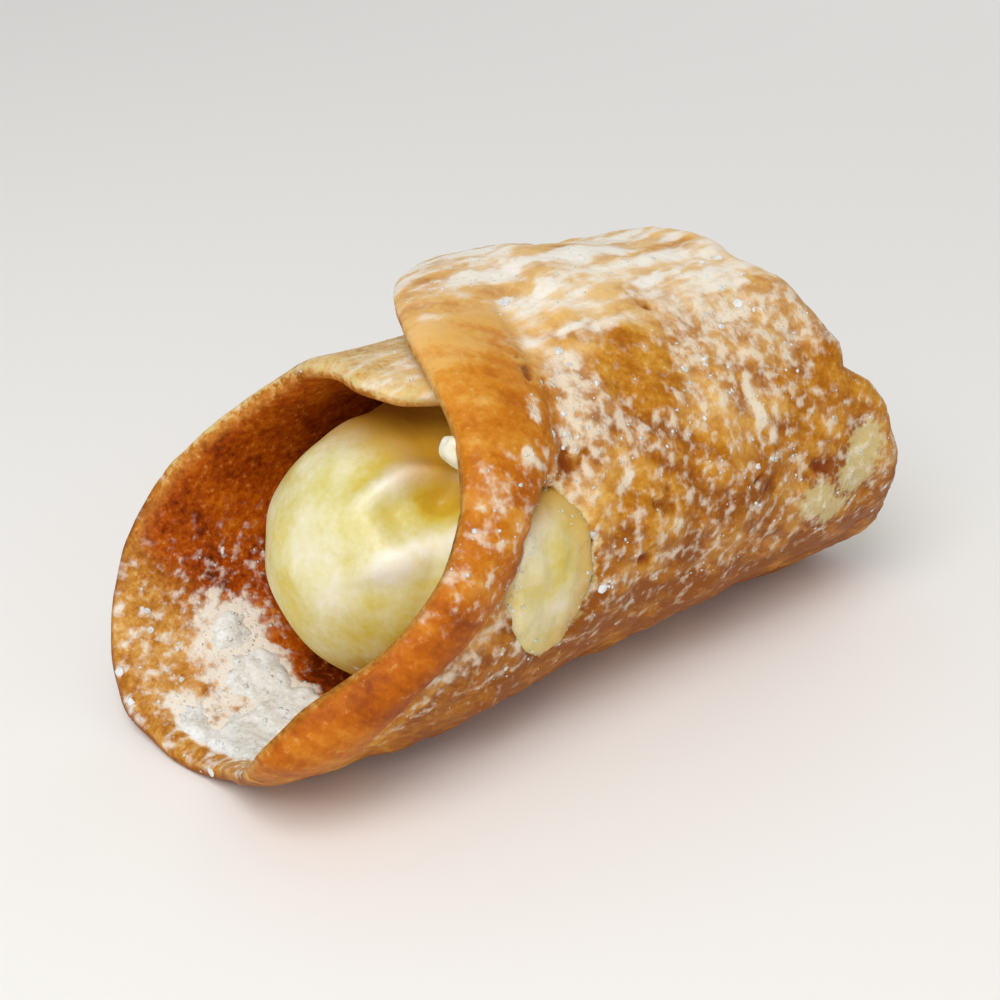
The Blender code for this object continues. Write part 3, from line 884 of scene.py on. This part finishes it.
def fried_dough():
    made, tree, shader = new_material("deep-fried wheat dough")
    place = add(tree, "ShaderNodeTexCoord").outputs["Object"]
    inside, collar, pale, pit, toasted_and_shade, painted_shade, on_top, sugar, bubble = [
        add(tree, "ShaderNodeAttribute", attribute_name=name).outputs["Fac"]
        for name in ("inside", "collar", "pale", "pit", "toasted_and_shade", "painted_shade", "on_top", "sugar",
                     "bubble")]
    flat_place = add(tree, "ShaderNodeAttribute", attribute_name="flat_place")
    flat_place = flat_place.outputs["Vector"]
    broad, fine = [
        add(tree, "ShaderNodeTexNoise",
            {"Vector": place, "Scale": 1 / size, "Detail": 4.0, "Roughness": rough})
        for size, rough in ((7.0 * MM, 0.55), (0.8 * MM, 0.65))]
    drawn = add(
        tree, "ShaderNodeMapping",
        {"Vector": flat_place, "Rotation": (0, 0, CREASE_TURN), "Scale": (*CREASE_SIZE, MM)},
        vector_type="TEXTURE")
    creases = add(tree, "ShaderNodeTexNoise", {"Vector": drawn, "Scale": 1.0, "Detail": 2.0})
    creased = add(tree, "ShaderNodeMapRange", [inside, 0.0, 1.0, 1.0, 0.3])
    creases = add(tree, "ShaderNodeMath", [creases, creased], operation="MULTIPLY")

    # One uneven tone of broad patches, slanting creases and fine speckle gives every brown its
    # lights and darks. On it the bubble tops and the top of the tube are painted light, and the
    # bubble hollows, the underside, the rear patch and the dough beside the cream are painted shade
    mottled = add(tree, "ShaderNodeMath", [fine, 0.7, -0.14], operation="MULTIPLY_ADD")
    tone = -0.85
    for part, weight in ((broad, 1.3), (creases, 0.7), (fine, 0.6), (bubble, 0.15), (on_top, 0.3),
                         (inside, mottled), (painted_shade, -0.38)):
        tone = add(tree, "ShaderNodeMath", [part, weight, tone], operation="MULTIPLY_ADD")
    outside_skin, collar_skin, inside_skin, toasted_and_shade_skin = [
        add(tree, "ShaderNodeValToRGB", [tone], stops=browns)
        for browns in (OUTSIDE_BROWNS, COLLAR_BROWNS, INSIDE_BROWNS, TOASTED_AND_SHADE_BROWNS)]
    burst = add(tree, "ShaderNodeMath", [pit, 0.85], operation="MULTIPLY")

    # The speckle breaks up the outline of pale dough
    speckle = add(tree, "ShaderNodeMath", [fine, 2.2, -1.1], operation="MULTIPLY_ADD")
    pale = add(tree, "ShaderNodeMath", [speckle, pale], operation="ADD")
    pale = add(tree, "ShaderNodeMapRange", [pale, 0.25, 0.8, 0.0, 0.8])

    # A thin veil of sugar, through which the dough shows, and white flecks of it
    flecks = white_flecks(tree, flat_place, sugar, on_top)
    veil = sugar
    for part, weight in ((broad, 0.5), (on_top, 0.35)):
        veil = add(tree, "ShaderNodeMath", [part, weight, veil], operation="MULTIPLY_ADD")
    veil = add(tree, "ShaderNodeMapRange", [veil, 0.6, 1.4, 0.0, 0.6])
    opaque = add(tree, "ShaderNodeMath", [sugar, 0.35, 0.55], operation="MULTIPLY_ADD")
    white = add(tree, "ShaderNodeMath", [flecks, opaque], operation="MULTIPLY")
    thick = add(tree, "ShaderNodeMath", [on_top, inside], operation="MAXIMUM")
    fallen = add(tree, "ShaderNodeMix",
                 [thick, colour(THIN_FLECK), colour(THICK_FLECK)], data_type="RGBA")

    skin = outside_skin
    for share, over in ((collar, collar_skin), (inside, inside_skin), (toasted_and_shade, toasted_and_shade_skin),
                        (burst, colour(BURST_BROWN)), (pale, colour(PALE_DOUGH)),
                        (veil, colour(SUGAR_VEIL)), (white, fallen.outputs[2])):
        skin = add(tree, "ShaderNodeMix", [share, skin, over], data_type="RGBA")
        skin = skin.outputs[2]
    rough = add(tree, "ShaderNodeMath", [white, 0.35, 0.5], operation="MULTIPLY_ADD")

    # Heights in mm: the skin's grain, its creases and the sugar's own thickness
    height = 0.0
    for part, thickness in ((fine, 0.16), (creases, 0.4), (white, 0.14)):
        height = add(tree, "ShaderNodeMath", [part, thickness, height], operation="MULTIPLY_ADD")
    bumps = add(tree, "ShaderNodeBump", {"Strength": 0.8, "Distance": MM, "Height": height})
    connect(tree, shader, {"Base Color": skin, "Roughness": rough, "Normal": bumps,
                           "Specular IOR Level": 0.14})
    return made


# %% Roll the sheet up
rolling = rolling_tree()
shell = grown("rolled_shell", sheet, rolling, {
    "Axis Height": AXIS_HEIGHT, "Bubble Size": 2.6 * MM, "Bubble Height": 0.3 * MM,
    "Grain Size": 1.6 * MM, "Grain Height": 0.3 * MM, "Material": fried_dough()})
bpy.data.objects.remove(sheet)
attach(shell, "root")
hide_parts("shell")


# %% [markdown]
# ## The pastry cream
#
# Pastry cream is milk, egg yolk and starch cooked to a soft gel. It is piped in until a round end
# stands in the mouth, and the last turn of the bag leaves two folds with a groove between them. A
# small dab of it clings to the near rim. It also swells out of the split in the side, and at the
# rear the bag left one low swirl. A sphere's rows are moved to the cream's own profile, as in the
# solid, with many more of them.

# %% Sizes of the cream; places on the ball are in its radii
CREAM_GAP = 0.4 * MM
CREAM_BALL_RADIUS = 14.5 * MM
CREAM_BALL_X = -12.8 * MM
CREAM_BALL_DROP = 2.8 * MM
CREAM_FILLS_FROM = 4.0 * MM
CREAM_WIDE = (55.0, 105.0, 285.0, 318.0)
CREAM_REAR_X = 35.5 * MM
CREAM_REAR_DOME = 8.0 * MM
CREAM_BULGE = 2.9 * MM         # out of the split
BULGE_UNEVEN = 0.35 * MM
BULGE_IN_WALL = 0.4 * MM       # round the split the cream is pressed this far into the dough
WOBBLE = (5 * MM, 0.35 * MM)   # size and height of the ball's unevenness
SWIRL_CENTRE = (-1.5 * MM, -1.0 * MM)    # from the tube's axis
SWIRL_TURNS = 2.1
SWIRL_HEIGHT = 0.75 * MM
FOLD_DEPTH = 2.2 * MM
FOLD_RIDGE = 0.8 * MM
FOLD_STARTS = (-0.62, -0.42)   # the groove opens between these, along the ball
UPPER_RIDGE, LOWER_RIDGE = 65.0, 31.0    # degrees above level, seen along the tube
RIDGE_DIP = 11.0               # how far the upper ridge comes down again towards the rim
DAB_ANGLE = 320.7              # a dab of cream left on the near rim by the bag
DAB_X = -14.5 * MM
DAB_RADIUS = 18.9 * MM         # its distance from the tube's axis
DAB_HALF_SIZES = (1.1 * MM, 1.7 * MM, 1.7 * MM)    # along the tube, out from it and round it
CREAM_ROWS_AROUND = 200
CREAM_ROWS_ALONG = 180


# %% Shape of the cream
def cream_profile(t):
    """x and radius along the cream, t from 0 at the front tip to 1 at the rear tip."""
    front_share, rear_share = 0.36, 0.86
    if t < front_share:
        a = t / front_share * math.pi / 2
        return CREAM_BALL_X - CREAM_BALL_RADIUS * math.cos(a), math.sin(a)
    rear_start = CREAM_REAR_X - CREAM_REAR_DOME
    if t < rear_share:
        along = (t - front_share) / (rear_share - front_share)
        return CREAM_BALL_X + (rear_start - CREAM_BALL_X) * along, 1.0
    a = (t - rear_share) / (1.0 - rear_share) * math.pi / 2
    return rear_start + CREAM_REAR_DOME * math.sin(a), math.cos(a) ** 0.8


def filling_radius(angle):
    """Radius of the cream where it fills the tube, clear of the innermost layer all round."""
    wide = TUBE_RADIUS - WALL - CREAM_GAP
    narrow = INNER_LAP_RADIUS - WALL - CREAM_GAP
    return narrow + (wide - narrow) * window(angle % 360.0, *CREAM_WIDE)


def bulge(angle, x, at_split):
    """How far the cream swells out at the split, and into the dough close round it."""
    uneven = BULGE_UNEVEN * patches(x, TUBE_RADIUS * math.radians(angle), 2.2, 2.6, 71.0, 0.7)
    out = (CREAM_BULGE + uneven) * step(at_split, 1.4, 0.9)
    in_wall = inner_radius(angle, x) + BULGE_IN_WALL - filling_radius(angle)
    return max(out, in_wall * step(at_split, 1.6, 1.3))


def fold(place):
    """Height of the last folds of piped cream on the ball, at a place relative to its centre.

    Two soft ridges run back to the near side of the mouth. The groove between them deepens
    towards it, steep under the upper ridge and easy above the lower one.
    """
    x, y, z = place / CREAM_BALL_RADIUS
    rise = math.degrees(math.atan2(z, -y))
    upper_ridge = UPPER_RIDGE - RIDGE_DIP * step(x, -0.28, 0.18)
    opened = step(x, *FOLD_STARTS) * (0.5 + 0.5 * step(x, -0.45, 0.05))
    below_upper = 1.0 - step(rise, upper_ridge - 12, upper_ridge)
    groove = opened * step(rise, LOWER_RIDGE + 3, 48) * below_upper
    upper = window(x, -0.75, -0.4, 0.1, 0.4) * math.exp(-((rise - upper_ridge) / 6) ** 2)
    lower = step(x, -0.97, -0.55) * math.exp(-((rise - LOWER_RIDGE) / 9) ** 2)
    return FOLD_RIDGE * (upper + lower) - FOLD_DEPTH * groove


def swirl(place):
    """Height of the last turn of piped cream at the rear end: one low ridge that winds inwards."""
    dome = step(place.x, CREAM_REAR_X - CREAM_REAR_DOME, CREAM_REAR_X - 0.5 * CREAM_REAR_DOME)
    y, z = place.y - SWIRL_CENTRE[0], place.z - AXIS_HEIGHT - SWIRL_CENTRE[1]
    share = math.hypot(y, z) / filling_radius(270.0)
    turn = math.atan2(z, y) + 2 * math.pi * SWIRL_TURNS * share
    uneven = 0.4 * noise.noise(place / (4 * MM))
    ridge = math.sin(turn) * window(share, 0.05, 0.3, 0.75, 0.95)
    return dome * SWIRL_HEIGHT * (ridge + uneven)


def cream_crumbs(place):
    """Share of crumbs and sugar on the cream: only round its foot in the lip."""
    foot = (window(place.x, -27 * MM, -24 * MM, -14 * MM, -9 * MM)
            * window(place.z, 4 * MM, 6 * MM, 13 * MM, 18 * MM))
    return 0.7 * foot * step(patches(place.x, place.z, 1.4, 1.4, 57.0), 0.0, 0.6)


def cream_oil_and_shadow(place, angle, x, at_split):
    """Share of brown on the cream: painted shadow under the flap, and round the split oil taken up
    from the dough, heavier behind the split's line as painted shade.
    """
    under_flap = (window(place.x, -20.5 * MM, -12.5 * MM, 0.0, 10 * MM)
                  * step(place.z, 26.5 * MM, 31.5 * MM))
    behind_line = step(x - split_line(angle), -3 * MM, 3 * MM)
    at_tear = (0.2 + 0.6 * behind_line * step(at_split, 0.25, 1.0)) * step(at_split, 1.6, 1.2)
    return max(under_flap, at_tear)


def cream_at(angle, x, swell):
    """Where a vertex of the cream goes, and what it needs for its colour."""
    at_split = split_across(angle, x)
    fills = max(step(x, CREAM_BALL_X, CREAM_FILLS_FROM), step(at_split, 2.2, 1.25))
    radius = CREAM_BALL_RADIUS + (filling_radius(angle) - CREAM_BALL_RADIUS) * fills
    place = on_tube(angle, radius * swell + bulge(angle, x, at_split), x)
    place.z -= CREAM_BALL_DROP * (1.0 - fills)
    from_ball = place - BALL_CENTRE
    free = 1.0 - step(x, CREAM_BALL_X, -6 * MM)
    turned = fold(from_ball) * free
    wobble = WOBBLE[1] * noise.noise(place / WOBBLE[0]) * free
    place += from_ball.normalized() * (turned + wobble)
    turned_in = swirl(place)
    place.x += turned_in
    # The folds' tops are painted whiter as highlight and the groove deeper yellow as shade; low
    # paints shade on the ball's lower side
    high = turned if turned > 0.0 else max(0.6 * turned, -1.2 * FOLD_RIDGE)
    return place, {
        "ridge": high / FOLD_RIDGE + 0.5 * turned_in / SWIRL_HEIGHT,
        "low": step(-from_ball.z, -0.2 * CREAM_BALL_RADIUS, 0.9 * CREAM_BALL_RADIUS) * free,
        "oil_and_shadow": cream_oil_and_shadow(place, angle, x, at_split),
        "sugar": max(cream_crumbs(place) * free, 0.45 * window(at_split, 0.55, 1.0, 1.05, 1.3)),
    }


def cream_blank():
    bm = bmesh.new()
    bmesh.ops.create_uvsphere(
        bm, u_segments=CREAM_ROWS_AROUND, v_segments=CREAM_ROWS_ALONG, radius=1.0)
    told = []
    for vert in bm.verts:
        t = math.acos(min(max(vert.co.z, -1.0), 1.0)) / math.pi
        angle = math.degrees(math.atan2(vert.co.y, vert.co.x)) % 360.0
        vert.co, row = cream_at(angle, *cream_profile(t))
        told.append(row)
    mesh = mesh_of(bm, "cream blank")
    tell(mesh, told)
    flat_place = mesh.attributes.new("flat_place", "FLOAT_VECTOR", "POINT")
    flat_place.data.foreach_set("vector", [value for vert in mesh.vertices for value in vert.co])
    return mesh


# %% [markdown]
# ## The cream's finish
#
# The gel is pale yellow. The tops of its folds are painted whiter as highlight, and the groove and
# the lower side of the ball are painted deeper yellow as shade; under the flap it is painted brown
# as shadow. Light wanders a few millimetres inside it, so its shadows are soft: that is subsurface
# scattering. Its skin is moist, with a soft gloss.

# %% Pastry cream
CREAM_YELLOWS = ((0.02, "#D0AC30"), (0.24, "#DAC44E"), (0.46, "#DFD48C"), (0.66, "#E8E1B4"),
                 (0.9, "#F2EDDA"))
OIL_AND_SHADOW_BROWN = "#CC9A2C"        # painted shadow under the flap, and oil from the dough at the split


def pastry_cream():
    made, tree, shader = new_material("pastry cream")
    place = add(tree, "ShaderNodeTexCoord").outputs["Object"]
    ridge, low, oil_and_shadow = [
        add(tree, "ShaderNodeAttribute", attribute_name=name).outputs["Fac"]
        for name in ("ridge", "low", "oil_and_shadow")]
    cloud, grain = [
        add(tree, "ShaderNodeTexNoise",
            {"Vector": place, "Scale": 1 / size, "Detail": 3.0, "Roughness": rough})
        for size, rough in ((6.0 * MM, 0.55), (0.8 * MM, 0.6))]
    # ridge paints highlight on the folds and shade in the groove; low paints shade low on the ball
    tone = -0.32
    for part, weight in ((cloud, 1.3), (grain, 0.4), (ridge, 0.38), (low, -0.45)):
        tone = add(tree, "ShaderNodeMath", [part, weight, tone], operation="MULTIPLY_ADD")
    body = add(tree, "ShaderNodeValToRGB", [tone], stops=CREAM_YELLOWS)
    # brown for the painted shadow under the flap, and for oil and painted shade at the split
    body = add(tree, "ShaderNodeMix", [oil_and_shadow, body, colour(OIL_AND_SHADOW_BROWN)], data_type="RGBA")
    height = add(tree, "ShaderNodeMath", [grain, 0.12], operation="MULTIPLY")
    bumps = add(tree, "ShaderNodeBump", {"Strength": 0.6, "Distance": MM, "Height": height})
    connect(tree, shader, {
        "Base Color": body.outputs[2], "Normal": bumps, "Roughness": 0.42,
        "Subsurface Weight": 0.3, "Subsurface Radius": (1.0, 0.75, 0.3),
        "Subsurface Scale": 2.0 * MM})
    return made


# %% Pipe the cream
cream_mesh = cream_blank()
cream_mesh.materials.append(pastry_cream())
cream_mesh.shade_smooth()
cream = placed("piped_cream", cream_mesh)
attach(cream, "root")
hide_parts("cream")


def cream_dab():
    """A small drop, drawn out round the rim that it clings to."""
    bm = bmesh.new()
    bmesh.ops.create_icosphere(bm, subdivisions=4, radius=1.0)
    middle = on_tube(DAB_ANGLE, DAB_RADIUS, DAB_X)
    a = math.radians(DAB_ANGLE)
    along, out, around = [size * way for size, way in zip(DAB_HALF_SIZES, (
        Vector((1, 0, 0)), Vector((0, math.sin(a), math.cos(a))),
        Vector((0, math.cos(a), -math.sin(a)))))]
    for vert in bm.verts:
        x, y, z = vert.co * (1.0 + 0.25 * noise.noise(vert.co * 1.3))
        vert.co = middle + along * x + out * y + around * z
    mesh = mesh_of(bm, "cream_dab")
    # the dab is painted like a fold's top: whiter, as highlight
    tell(mesh, [{"ridge": 1.2}] * len(mesh.vertices))
    mesh.materials.append(cream_mesh.materials[0])
    mesh.shade_smooth()
    return placed("cream_dab", mesh)


dab = cream_dab()
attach(dab, "root")
print("piped_cream:", triangles(cream_mesh), "triangles")


# %% [markdown]
# ## Powdered sugar
#
# Powdered sugar is ground so fine that it clings in soft lumps a few tenths of a millimetre
# across. A heap of it lies in the lip, and loose lumps lie all over. The heap is a thin closed
# body whose edge dips below the dough, and the dough shows through it there. The lumps are
# scattered by Geometry Nodes: points fall where the dough's white flecks are, each carries one
# small flattened ball, and a noise texture breaks the balls up once they are real geometry.

# %% Sugar's finish
SUGAR_WHITES = ((0.2, "#D0CDC2"), (0.42, "#E3E5E1"), (0.65, "#F2F5F5"))
DOUGH_THROUGH_SUGAR = "#B4702E"


def powdered_sugar():
    made, tree, shader = new_material("powdered sugar")
    place = add(tree, "ShaderNodeTexCoord").outputs["Object"]
    powder, clumps = [add(tree, "ShaderNodeTexNoise",
                          {"Vector": place, "Scale": 1 / size, "Detail": 3.0, "Roughness": 0.7})
                      for size in (0.35 * MM, 2.5 * MM)]
    tone = add(tree, "ShaderNodeMath", [clumps, 1.2, -0.6], operation="MULTIPLY_ADD")
    tone = add(tree, "ShaderNodeMath", [powder, tone], operation="ADD")
    white = add(tree, "ShaderNodeValToRGB", [tone], stops=SUGAR_WHITES)
    thin = add(tree, "ShaderNodeAttribute", attribute_name="thin").outputs["Fac"]
    ragged = add(tree, "ShaderNodeMath", [powder, -1.6, thin], operation="MULTIPLY_ADD")
    ragged = add(tree, "ShaderNodeMapRange", [ragged, -0.4, 0.2, 0.0, 0.85])
    white = add(tree, "ShaderNodeMix",
                [ragged, white, colour(DOUGH_THROUGH_SUGAR)], data_type="RGBA")
    height = add(tree, "ShaderNodeMath", [powder, 0.1], operation="MULTIPLY")
    bumps = add(tree, "ShaderNodeBump", {"Strength": 0.5, "Distance": MM, "Height": height})
    connect(tree, shader, {
        "Base Color": white.outputs[2], "Normal": bumps, "Roughness": 0.9,
        "Subsurface Weight": 0.4, "Subsurface Radius": (1.0, 0.9, 0.8),
        "Subsurface Scale": 0.6 * MM})
    return made


sugar_white = powdered_sugar()

# %% The heap in the lip
HEAP_ANGLES = (120.0, 208.0)
HEAP_X = (-41.5 * MM, -13.0 * MM)
HEAP_CLEAR = 0.5 * MM          # of the rim
HEAP_ROWS = 110
HEAP_SUNK = 0.3 * MM           # its underside lies this deep in the dough
HEAP_EDGE_SUNK = 0.15 * MM     # and its top where it is thinnest


def heap_on(angle, x, below):
    """All that a vertex of the heap needs for rolling and colour."""
    wall = surface_radius(angle, x, edge_distance(angle, x), False)
    depth = drift(angle, x)
    deep = step(depth, 0.0, 0.8)
    return {
        "roll_angle": math.radians(angle),
        "roll_radius": wall + (HEAP_SUNK if below else HEAP_EDGE_SUNK - DRIFT_DEPTH * deep),
        "fried": 0.0 if below else -step(deep, 0.0, 0.4),
        "thin": 1.0 - step(depth, 0.0, 0.35),
        "sugar": 0.0 if below else 0.75 * step(deep, 0.05, 0.3),
    }


def sugar_heap():
    """The heap's outline lying flat, as (angle, x / MM, 0): the faces where the drift is deep."""
    bm = bmesh.new()
    bmesh.ops.create_grid(bm, x_segments=HEAP_ROWS, y_segments=HEAP_ROWS, size=0.5)
    for vert in bm.verts:
        angle = HEAP_ANGLES[0] + (HEAP_ANGLES[1] - HEAP_ANGLES[0]) * (vert.co.x + 0.5)
        x = HEAP_X[0] + (HEAP_X[1] - HEAP_X[0]) * (vert.co.y + 0.5)
        vert.co = Vector((angle, max(x, front_x(angle) + HEAP_CLEAR) / MM, 0.0))
    bare = [face for face in bm.faces
            if all(drift(vert.co.x, vert.co.y * MM) < 0.0 for vert in face.verts)]
    bmesh.ops.delete(bm, geom=bare, context="FACES")
    bmesh.ops.remove_doubles(bm, verts=bm.verts[:], dist=0.0001)
    return bm


flat_heap = told_sheet(sugar_heap(), "flat_heap", heap_on)
heap = grown("sugar_heap", flat_heap, rolling, {
    "Axis Height": AXIS_HEIGHT, "Bubble Size": 1.8 * MM, "Bubble Height": 0.3 * MM,
    "Grain Size": 1.0 * MM, "Grain Height": 0.25 * MM, "Material": sugar_white})
bpy.data.objects.remove(flat_heap)
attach(heap, "root")


# %% The scattering tree
LUMP_SHAPES = ((0.8, 0.7, 0.2), (1.6, 1.2, 0.42))    # in its radii: longest, across and high
LUMPS_BOUND_ON_TOP = 0.35      # on top, where the sugar is caked, fewer lumps lie loose
LARGE_LUMPS_RARE = 2.6         # a power: the greater, the fewer lumps are near the largest size


def scattering_tree():
    tree, given = new_tree("scatter sugar", {
        "Density": "Float", "Smallest": "Float", "Largest": "Float", "Lump Detail": "Int",
        "Seed": "Int", "Material": "Material"})
    share, on_top = [
        add(tree, "GeometryNodeInputNamedAttribute", {"Name": name}, data_type="FLOAT")
        for name in ("sugar", "on_top")]
    flat_place = add(tree, "GeometryNodeInputNamedAttribute",
                     {"Name": "flat_place"}, data_type="FLOAT_VECTOR")
    dense = white_flecks(tree, flat_place, share, on_top)
    loose = add(tree, "ShaderNodeMapRange", [on_top, 0.0, 1.0, 1.0, LUMPS_BOUND_ON_TOP])
    for factor in (given["Density"], loose):
        dense = add(tree, "ShaderNodeMath", [dense, factor], operation="MULTIPLY")
    points = add(tree, "GeometryNodeDistributePointsOnFaces",
                 {"Mesh": given["Geometry"], "Density": dense, "Seed": given["Seed"]},
                 distribute_method="RANDOM")

    # Each lump's own size, shape and turn
    luck = add(tree, "FunctionNodeRandomValue", {"Seed": given["Seed"]}, data_type="FLOAT")
    rare = add(tree, "ShaderNodeMath", [luck, LARGE_LUMPS_RARE], operation="POWER")
    spread = add(tree, "ShaderNodeMath",
                 [given["Largest"], given["Smallest"]], operation="SUBTRACT")
    size = add(tree, "ShaderNodeMath", [rare, spread, given["Smallest"]], operation="MULTIPLY_ADD")
    shape = add(tree, "FunctionNodeRandomValue",
                {"Min": LUMP_SHAPES[0], "Max": LUMP_SHAPES[1], "Seed": given["Seed"]},
                data_type="FLOAT_VECTOR")
    scale = add(tree, "ShaderNodeVectorMath", {"Vector": shape, "Scale": size}, operation="SCALE")
    spin = add(tree, "FunctionNodeRandomValue",
               {"Min": 0.0, "Max": 2 * math.pi, "Seed": given["Seed"]}, data_type="FLOAT")
    about = add(tree, "ShaderNodeCombineXYZ", {"Z": spin})
    turn = add(tree, "FunctionNodeEulerToRotation", [about])
    facing = add(tree, "FunctionNodeRotateRotation",
                 [points.outputs["Rotation"], turn], rotation_space="LOCAL")
    ball = add(tree, "GeometryNodeMeshIcoSphere",
               {"Radius": 1.0, "Subdivisions": given["Lump Detail"]})
    lumps = add(tree, "GeometryNodeInstanceOnPoints",
                {"Points": points, "Instance": ball, "Rotation": facing, "Scale": scale})

    # Real geometry, broken up by noise
    real = add(tree, "GeometryNodeRealizeInstances", {"Geometry": lumps})
    place = add(tree, "GeometryNodeInputPosition")
    uneven = add(tree, "ShaderNodeTexNoise",
                 {"Vector": place, "Scale": 1 / (0.4 * MM), "Detail": 2.0})
    centred = add(tree, "ShaderNodeVectorMath",
                  [uneven.outputs["Color"], (0.5, 0.5, 0.5)], operation="SUBTRACT")
    pushed = add(tree, "ShaderNodeVectorMath",
                 {"Vector": centred, "Scale": 0.4 * MM}, operation="SCALE")
    broken = add(tree, "GeometryNodeSetPosition", {"Geometry": real, "Offset": pushed})
    dressed = add(tree, "GeometryNodeSetMaterial",
                  {"Geometry": broken, "Material": given["Material"]})
    add(tree, "NodeGroupOutput", {"Geometry": dressed})
    return tree


# %% Scatter the lumps
scatter = scattering_tree()
SCATTERS = (                   # piece, under it, lumps per square mm, radii in mm, detail, seed
    ("sugar_dust", shell, 1.5, 0.08, 0.22, 1, 11),
    ("sugar_lumps", shell, 0.08, 0.2, 0.5, 3, 23),
    ("sugar_on_heap", heap, 0.9, 0.08, 0.3, 1, 37),
    ("sugar_on_cream", cream, 5.0, 0.08, 0.26, 1, 41),
)
for name, ground, density, smallest, largest, detail, seed in SCATTERS:
    lumps = grown(name, ground, scatter, {
        "Density": density / MM ** 2, "Smallest": smallest * MM, "Largest": largest * MM,
        "Lump Detail": detail, "Seed": seed, "Material": sugar_white})
    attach(lumps, "root")


# %% [markdown]
# ## The floor
#
# A plain pale floor catches the shadow. It is not part of the pastry.

# %% Floor
FLOOR_HALF_WIDTH = 2.0
bm = bmesh.new()
bmesh.ops.create_grid(bm, x_segments=1, y_segments=1, size=FLOOR_HALF_WIDTH)
floor = placed("floor", mesh_of(bm, "floor"))
floor.location.z = -0.05 * MM
paper, paper_tree, paper_shader = new_material("white paper")
connect(paper_tree, paper_shader, {"Base Color": colour("#FBFAF8"), "Roughness": 0.8})
floor.data.materials.append(paper)
